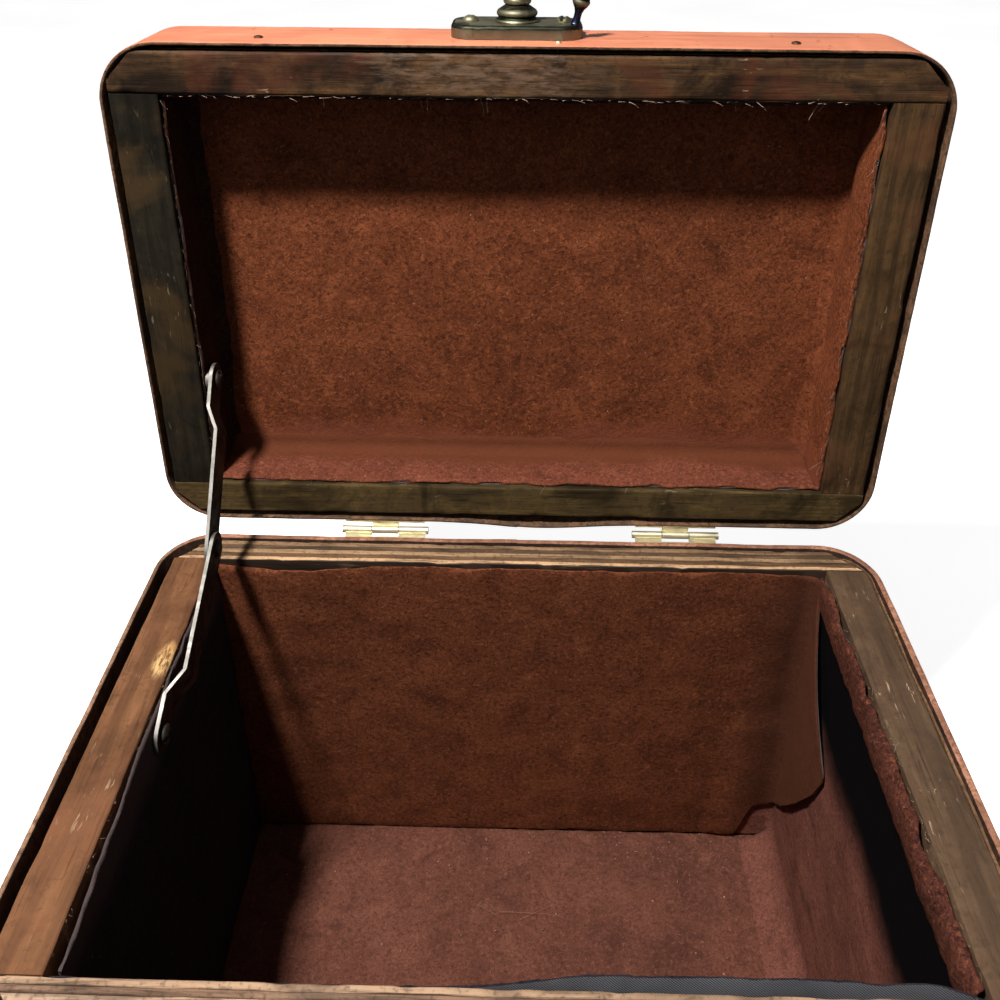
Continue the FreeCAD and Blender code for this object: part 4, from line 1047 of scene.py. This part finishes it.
def back_lining():
    """Felt over the back and round its right corner, where its lower part is cut away."""
    corner, turn, reach = 107.5, 6.0, 47.0
    run = corner - ROOM_LEFT - 0.6
    total = reach + run
    arc = turn * math.pi / 2
    wall = ROOM_BACK - 0.8
    sag_x, sag_wide = -86, 22
    lap_from, lap_top = -22, 88
    # The felt's lower and upper edges, by how far past the corner they are.
    bottom = ((-400, 9.3), (-14, 9.6), (-8, 10.5), (-5.5, 21), (-3, 30), (3, 33), (10, 39),
              (20, 51), (28, 62.5), (34, 72), (40, 83), (44, 91), (47, 101))
    upper = ((-400, LINING_HIGH + 0.6), (8.2, LINING_HIGH + 0.4), (9.6, 154), (12, 150),
             (47, 103.5))

    def back(u, v):
        past = total * u - run
        x = ROOM_LEFT + 0.6 + total * u
        low, high = between(past, bottom), between(past, upper)
        z = low + (high - low) * v
        lean = 0.0
        if past < 6:
            sag = math.exp(-((x - sag_x) / sag_wide) ** 2)
            z -= 0.9 * sag * v ** 6
            lean = 2.4 * sag * v ** 5 + 1.3 * max(0, n3(x, 0, z, 30, 7.0)) * v ** 3
        ripple = max(-0.15, waves(x, 0, z, (0.7, 46, 3.0), (0.35, 17, 5.0)))
        lap = 1.5 * min(1.0, max(0.0, (past - lap_from) / 10))
        lap *= min(1.0, max(0.0, (lap_top - z) / 10))
        if past <= 0:
            return x, wall - ripple - lean - lap, z
        if past < arc:
            a = past / turn
            return (corner + turn * math.sin(a),
                    wall - turn * (1 - math.cos(a)) - (ripple + lap) * math.cos(a), z)
        bow = 1.6 * math.sin(math.pi * min(1.0, (past - arc) / (reach - arc)))
        return corner + turn - 0.9 - bow, wall - turn - (past - arc), z

    steps = 400
    places = [total * (k + 0.5) / steps - run for k in range(steps)]
    cut_area = sum(between(p, upper) - between(p, bottom) for p in places) * total / steps
    cloth("back_felt", back, 150, 80, [FELT_BACK, TWILL], "box_body", "back_lining",
          seed=2.0, lump=0.35,
          fray=(0.4, 0.5, 0.5, 0.6))


def side(wall, inward, peel, start, seed, tail=0.0, cove=0.0):
    """Surface of a side lining, and its length up the wall.

    Above start it is loose: peel(t, y) gives how far inward and how high it is, t from 0
    to 1.  tail is what turns onto the back, and cove the radius of its curve at the floor."""
    loose = LINING_HIGH - start + 5.0
    arc = cove * math.pi / 2
    firm = arc - cove + start - LINING_LOW
    deep, front = ROOM_DEEP - 4.2, ROOM_FRONT + 2.2
    tail_tall, tail_curve = 66.0, 1.2

    def at(u, v):
        run = (deep + tail) * u
        y = front + min(run, deep)
        past_end = max(0.0, run - deep)
        if past_end > 0:
            curve = 1 - math.exp(-past_end / tail_curve)
            return (wall + inward * (past_end + 0.3), y + 1.5 * curve,
                    LINING_LOW + 0.3 + tail_tall * v)
        s = (firm + loose) * v
        out = 0.0
        if s < arc:
            z = LINING_LOW + cove * (1 - math.cos(s / cove))
            out = cove * (1 - math.sin(s / cove))
        elif s < firm:
            z = LINING_LOW + s - arc + cove
        else:
            out, z = peel((s - firm) / loose, y)
        ripple = waves(0, y, z, (0.5, 40, seed), (0.3, 14, seed + 2))
        return wall + inward * (max(-0.1, ripple) + out), y, z
    return at, firm + loose


def right_peel(t, y):
    far = (ROOM_BACK - y) / ROOM_DEEP
    size = (0.24 + 0.34 * min(1.0, far * 2.2)) * (
        1 + waves(y, 0, 0, (0.34, 17, 3.0), (0.3, 6, 5.0)) + 0.22 * n3(y, 9 * t, 0, 2.6, 8.0))
    torn = max(0.0, n3(y, 5, 0, 15, 1.4) + 0.02) * 2.6
    out = between(t, ((0, 0), (0.25, 1.0), (0.45, 3.4), (0.62, 5.6), (0.75, 5.7), (0.87, 4.2),
                      (1, 0.4)))
    z = between(t, ((0, 141), (0.25, 147), (0.45, 151.5), (0.62, 156.3), (0.75, 160),
                    (0.87, 162.4), (1, 163.6)))
    return (out * size + torn * max(0.0, t - 0.7) / 0.3,
            z - 0.9 * torn * max(0.0, t - 0.8) / 0.2)


def left_peel(t, y):
    near = 0.5 - 0.5 * math.tanh((y + 22) / 9)
    front = 0.5 - 0.5 * math.tanh((y + 62) / 7)
    size = 1.0 + waves(y, 0, 0, (0.4, 22, 9.0), (0.4, 7, 4.0))
    return (1.1 * near + 1.6 * front) * size * t ** 1.5, 145 + 17.4 * t - 0.8 * near * t


def side_linings():
    at, run_up = side(ROOM_RIGHT - 0.75, -1, right_peel, 141.0, 3.0, 15.0, 14.0)
    right = cloth("right_felt", at, 120, 130, [FELT_RIGHT, TWILL, FELT_PEEL], "box_body",
                  "right_lining", seed=3.0,
                  lump=0.4, fray=(0.4, 0.2, 0.5, 0.9))
    # Faces above about 150.6 mm take felt_peel, so the painted shade of felt_right stops below the
    # peeled top.
    for face in right.data.polygons:
        ragged = 150.6 + 1.2 * n3(face.center.y / MM, 0, 0, 8, 2.0)
        if face.center.z > ragged * MM and face.material_index == 0:
            face.material_index = 2
    at, run_up = side(ROOM_LEFT + 0.75, 1, left_peel, 145.0, 6.0)
    cloth("left_felt", at, 120, 90, [FELT_LEFT, FELT_LEFT], "box_body", "left_lining",
          seed=4.0, lump=0.3,
          fray=(0.4, 0.4, 0.5, 1.2))


def front_lining():
    def front(u, v):
        x = ROOM_LEFT + 0.5 + (ROOM_WIDE - 1.0) * u
        z = LINING_LOW + 0.3 + (LINING_TALL + 0.7) * v
        loose = 0.5 + 0.5 * math.tanh((x - 4) / 16)
        loose *= 0.5 - 0.5 * math.tanh((x - 109) / 6)
        slope = 0.1 + 4.2 * loose * (0.85 + 0.35 * n3(x, 0, 0, 26, 2.0))
        share = max(0.0, (v - 0.88) / 0.12)
        z -= 1.6 * (1 - loose) * share
        lean = slope * share ** 1.6 + 0.3 * abs(n3(x, 0, z, 20, 8.0))
        return x, ROOM_FRONT + 0.75 + lean, z

    cloth("front_felt", front, 130, 70, [FELT_SIDE, TWILL], "box_body", "front_lining",
          seed=5.0, lump=0.12,
          fray=(0.3, 0.3, 0.3, 0.6))


def well_wall(wall, inward, upright, start, end, seed, overhang, bow, radius):
    """Surface of a lid wall's lining, and its length from its ragged lip to the ceiling.

    It meets the ceiling in a curve; upright walls run along y, the others along x."""
    low, top, lap = 1.6, 25.0, 3.0
    flat_part = top - radius - low
    arc = radius * math.pi / 2
    total = flat_part + arc + lap

    def at(u, v):
        a = start + (end - start) * u
        s = total * v
        if s < flat_part:
            z = low + s
            curl = max(0.0, 1 - s / 5.0)
            out = bow * max(0.0, 0.6 + n3(a, s, 0, 21, seed)) * math.sin(
                math.pi * min(1.0, s / flat_part)) + overhang * curl * n3(a, 0, 0, 13, seed)
        elif s < flat_part + arc:
            t = (s - flat_part) / radius
            z = low + flat_part + radius * math.sin(t)
            out = radius * (1 - math.cos(t))
        else:
            z = low + flat_part + radius + 0.45 * (s - flat_part - arc)
            out = radius + s - flat_part - arc
        out += 0.25 * n3(a, z, 0, 15, seed + 3)
        place = wall + inward * (0.75 + max(-0.2, out))
        return (place, a, z) if upright else (a, place, z)
    return at, total


def lid_linings():
    """The lid's ceiling, and four walls that curve into it."""
    wide, deep = WELL_RIGHT - WELL_LEFT, WELL_BACK - WELL_FRONT

    def ceiling(u, v):
        x = WELL_LEFT + 0.5 + (wide - 1.0) * u
        y = WELL_FRONT + 0.5 + (deep - 1.0) * v
        return x, y, 25.75 - max(-0.1, waves(x, y, 0, (0.55, 34, 6.0), (0.4, 13, 1.0)))

    cloth("lid_ceiling_felt", ceiling, 150, 100, [FELT_LID, TWILL], "lid", "lid_top_lining",
          seed=6.0, lump=0.34, fray=(0.3,) * 4)
    # The front and left walls take the darker felt painted as shade.
    for part, wall, inward, upright, mat, bow, lip, radius in (
            ("back", WELL_BACK, -1, False, FELT_STRIP, 0.6, 0.7, 5.0),
            ("front", WELL_FRONT, 1, False, FELT_PAINTED_SHADE, 0.8, 0.7, 2.5),
            ("left", WELL_LEFT, 1, True, FELT_PAINTED_SHADE, 0.7, 0.9, 2.5),
            ("right", WELL_RIGHT, -1, True, FELT_LID, 1.8, 2.4, 3.5)):
        start, end = ((WELL_FRONT + 1.2, WELL_BACK - 1.2) if upright
                      else (WELL_LEFT + 0.6, WELL_RIGHT - 0.6))
        at, up = well_wall(wall, inward, upright, start, end, wall * 0.1, lip, bow, radius)
        cloth("lid_" + part + "_felt", at, 120, 30, [mat, TWILL], "lid",
              "lid_" + part + "_lining",
              seed=wall * 0.07, lump=0.25, fray=(0.4, 0.4, 1.3, 0.2), thick=1.1)


# Profile of a domed head: heights in mm for a rise of 0.6 mm, and shares of its radius.
DOME = [(-0.6, 0.98), (0.0, 1.0), (0.16, 0.97), (0.32, 0.86), (0.45, 0.66), (0.55, 0.4),
        (0.6, 0.14)]


def heads(name, node, spots, radius, rise, mat, body, slot, slotted=False, deep=6.0):
    """Domed heads and their shanks; each spot is a point and the way out of the wall."""
    soup = Soup()
    slot_half, slot_deep = radius * 0.17, rise * 0.4
    for k, (foot, way) in enumerate(spots):
        foot, way = Vector(foot), Vector(way)
        profile = [(-deep, radius * 0.1), (-deep * 0.85, radius * 0.34),
                   (-0.25, radius * 0.36), (-0.2, radius * 0.8)]
        profile += [(rise * h / 0.6 if h > 0 else h * 0.2, radius * r) for h, r in DOME]
        angle = 0.7 + 1.3 * k
        side = way.orthogonal().normalized()
        across = side * math.cos(angle) + way.cross(side) * math.sin(angle)

        def cut(q, height):
            if height > 0.3 * rise and abs((q - foot).dot(across)) < slot_half:
                return q - way * slot_deep
            return q

        soup.lathe(foot, way, profile, 28 if slotted else 20, cut if slotted else None, 0.03,
                   1.7 * k)
    soup.object(name, mat, body, [node], slot, 40)


def band_spots(z, y_mid):
    """Nails round a band, two on each side."""
    from_end, from_front = 50.5, 42.0
    spots = []
    for sign in (-1, 1):
        x, y = sign * (HALF_WIDE - from_end), y_mid + sign * (HALF_DEEP - from_front)
        spots += [((x, y_mid - HALF_DEEP, z), (0, -1, 0)), ((x, y_mid + HALF_DEEP, z), (0, 1, 0)),
                  ((-HALF_WIDE, y, z), (-1, 0, 0)), ((HALF_WIDE, y, z), (1, 0, 0))]
    return spots


def fastenings():
    for part, z, y_mid, body in (("rim", 152.0, 0.0, "box_body"), ("base", 11.0, 0.0, "box_body"),
                                 ("lid", 10.0, -PIN_Y, "lid")):
        heads(part + "_nail_heads", part + "_band_nails", band_spots(z, y_mid), 1.5, 0.6, NAIL,
              body, "nail_brass")
    heads("lid_pin_head", "lid_small_nail", [((10.0, LID_FACE_FRONT, 6.0), (0, -1, 0))], 1.0,
          0.6, BRASS, "lid", "nail_brass")
    hinges, screw_out = (-51.5, 61.5), 9.5
    leaf_x = [hinge + side * screw_out for hinge in hinges for side in (-1, 1)]
    for name, node, y, z, body in (
            ("leaf_screw_heads", "hinge_screws_lower", HALF_DEEP + 0.8, 156.0, "box_body"),
            ("lid_leaf_screw_heads", "hinge_screws_upper", -2.8, 8.0, "lid")):
        heads(name, node, [((x, y, z), (0, 1, 0)) for x in leaf_x], 1.9, 0.8, BRASS, body,
              "bronze", slotted=True)
    for part in ("left", "right"):
        carry(BRASS, 0.12, "hinge_leaf_lower_" + part, "hinge_leaf_upper_" + part)
        carry(BRASS, 0.15, "hinge_pin_" + part)
    carry(STEEL, 0.18, "stay_lower_arm", "stay_upper_arm")
    carry(STEEL, 0.15, "stay_upper_washer")
    carry(STEEL, 0.3, "stay_knee_rivet")
    for node, y, z, body in (("stay_lower_screw", 2.9, 154.0, "box_body"),
                             ("stay_upper_screw", -63.0, 5.0, "lid")):
        heads(node + "_head", node, [((-111.0, y, z), (1, 0, 0))], 3.4, 1.7, DULL_SCREW, body,
              "bronze", slotted=True, deep=9.0)


def squeezed(level, start, over, most):
    """Shape for a lathe that flattens its end towards the height level."""
    def shape(q, height):
        share = min(1.0, max(0.0, (height - start) / over))
        return Vector((q.x, q.y, level + (q.z - level) * (1 - most * share)))
    return shape


def clasp():
    face = LID_FACE_FRONT - 4.1
    post_x, post_z = -3.0, 20.6
    screw_out = 15
    forward = (0, -1, 0)
    carry(BRONZE, 0.15, "clasp_plate")
    heads("clasp_screw_heads", "clasp_screws",
          [((post_x + s * screw_out, face, post_z), forward) for s in (-1, 1)], 2.7, 1.9,
          PALE_BRONZE, "lid", "bronze", slotted=True, deep=9.0)
    foot = Soup()
    foot.lathe((post_x, face, post_z), forward,
               [(0.0, 1.7), (-0.02, 6.9), (0.35, 7.1), (0.8, 6.9), (1.2, 6.1), (1.6, 6.0),
                (2.2, 6.5), (2.9, 6.6), (3.6, 6.2), (4.2, 5.3), (4.7, 4.5), (5.0, 4.1),
                (5.0, 1.7)], 40)
    foot.object("clasp_foot_turned", BRONZE, "lid", ["clasp_foot"], "bronze", 50)
    knob = Soup()
    knob.lathe((post_x, face - 5.3, post_z), forward,
               [(-7.0, 1.55), (-0.01, 1.6), (0.0, 3.7), (0.25, 4.2), (0.9, 4.5), (1.6, 4.35),
                (2.2, 3.9), (3.5, 3.7), (5.4, 3.65), (6.6, 3.85), (7.2, 4.5), (8.0, 4.6),
                (8.6, 4.3), (9.8, 5.1), (11.4, 6.1), (13.0, 6.5), (14.4, 6.2), (15.4, 5.0),
                (15.9, 3.0), (16.0, 0.8)], 40, squeezed(post_z, 7.0, 5.0, 0.5))
    knob.object("clasp_knob_turned", PALE_BRONZE, "clasp_knob_turn", ["clasp_knob"], "bronze", 50)
    lever = Soup()
    lean = math.radians(13)
    out = Vector((math.sin(lean), -math.cos(lean), 0))
    spot = Vector((15.4, face, 14.2))
    lever.lathe(spot, out, [(-2.3, 1.2), (0.0, 1.3), (0.4, 1.6), (0.9, 1.35), (2.5, 1.15),
                            (3.8, 1.2), (5.0, 1.6), (6.0, 2.3), (6.8, 2.75), (7.4, 2.85),
                            (8.0, 2.6), (9.5, 2.4), (11.5, 2.55), (13.0, 2.3), (13.8, 1.4),
                            (14.0, 0.4)], 32, squeezed(spot.z, 7.0, 4.0, 0.42))
    for k, face_points in enumerate(lever.faces):
        middle = sum((lever.points[j] for j in face_points), Vector()) / len(face_points)
        lever.marks[k] = 0 if (middle - spot).dot(out) < 5.0 else 1
    lever.object("clasp_lever_turned", [NAVY, BRONZE], "clasp_lever_turn", ["clasp_lever"],
                 "bronze", 50)


def fibres():
    """Loose threads at the lid's lip, a hair loop on the floor and scraps of lint."""
    pale = raw_edge("thread", srgb(178, 152, 134), srgb(128, 104, 90))
    dim = raw_edge("hair", srgb(150, 108, 84), srgb(120, 82, 62))
    rng = random.Random(17)
    pick = rng.uniform
    lip, floor_top = 1.2, 10.2
    rim = [((x, WELL_FRONT + 0.6, 2.0), (0.3 * pick(-1, 1), 1, 0.5), long, 0.3, 0.5)
           for x, long in ((-33, 6), (-31, 4), (-14, 9), (-12, 5), (-64, 4), (38, 3), (66, 3.5),
                           (92, 6), (94, 5))]
    for k in range(75):
        x = -113 + 3.04 * k + pick(-1, 1)
        rim.append(((x, WELL_FRONT + 0.3 + pick(-0.3, 0.5), lip),
                    (1, pick(-0.3, 0.4), pick(-0.2, 0.3)), pick(1, 4.5), 0.17, 0.7))
    for k in range(36):
        y = WELL_FRONT + 2 + 3.9 * k + pick(-1, 1)
        for x, near, far, back, on in ((WELL_LEFT + 0.5, -0.3, 0.8, -0.2, 0.4),
                                       (WELL_RIGHT - 1.6, -0.8, 0.4, -0.4, 0.2)):
            rim.append(((x + pick(near, far), y, lip), (pick(back, on), 1, pick(-0.2, 0.3)),
                        pick(1, 4), 0.15, 0.7))
    rim += [((-110 + 24 * k + pick(-8, 8), WELL_BACK - 0.4, 1.8), (pick(-1, 1), 0.4, -0.4),
             pick(2, 4.5), 0.12, 1.2) for k in range(9)]
    rim += [((WELL_RIGHT - 1.5, -34.0, 1.6), (-1, 0.6, -0.3), 7, 0.16, 1.0),
            ((WELL_RIGHT - 1.5, -62.0, 1.6), (-1, 0.2, -0.3), 4, 0.14, 1.0)]
    threads("lid_loose_threads", rim, pale, "lid", 5)
    loop = [((-14 + 9 * k, 38 - 3 * k, 10.6), (1, -0.5 + 0.5 * k, 0), 34 - 6 * k, 0.16, 0.9)
            for k in range(3)]
    threads("floor_hairs", loop, dim, "box_body", 3)
    lint = []
    for _ in range(70):
        x, y = pick(-60, 100), pick(-60, 72)
        lint.append(((x, y, floor_top), (pick(-1, 1), pick(-1, 1), 0.3), pick(0.5, 1.5),
                     pick(0.2, 0.45), 0.8))
    for _ in range(40):
        lint.append(((pick(40, 100), pick(58, 73), floor_top), (pick(-1, 1), 0.3, 0.3),
                     pick(0.4, 1.2), 0.25, 0.8))
    for _ in range(26):
        y = pick(-70, 74)
        lint.append(((ROOM_RIGHT - 0.6, y, 163.2), (pick(-1, 0.4), pick(-1, 1), 0.1),
                     pick(0.8, 3.2), 0.13, 0.9))
        lint.append(((ROOM_LEFT + 0.3, pick(-74, 70), 162.9), (pick(-0.1, 0.5), pick(-1, 1), 0.0),
                     pick(0.5, 1.8), 0.09, 0.9))
    threads("body_lint", lint, pale, "box_body", 9)


frames()
bands()
floor_lining()
back_lining()
side_linings()
front_lining()
lid_linings()
fastenings()
clasp()
fibres()

camera()
studio()
bpy.context.scene.view_settings.view_transform = "Standard"
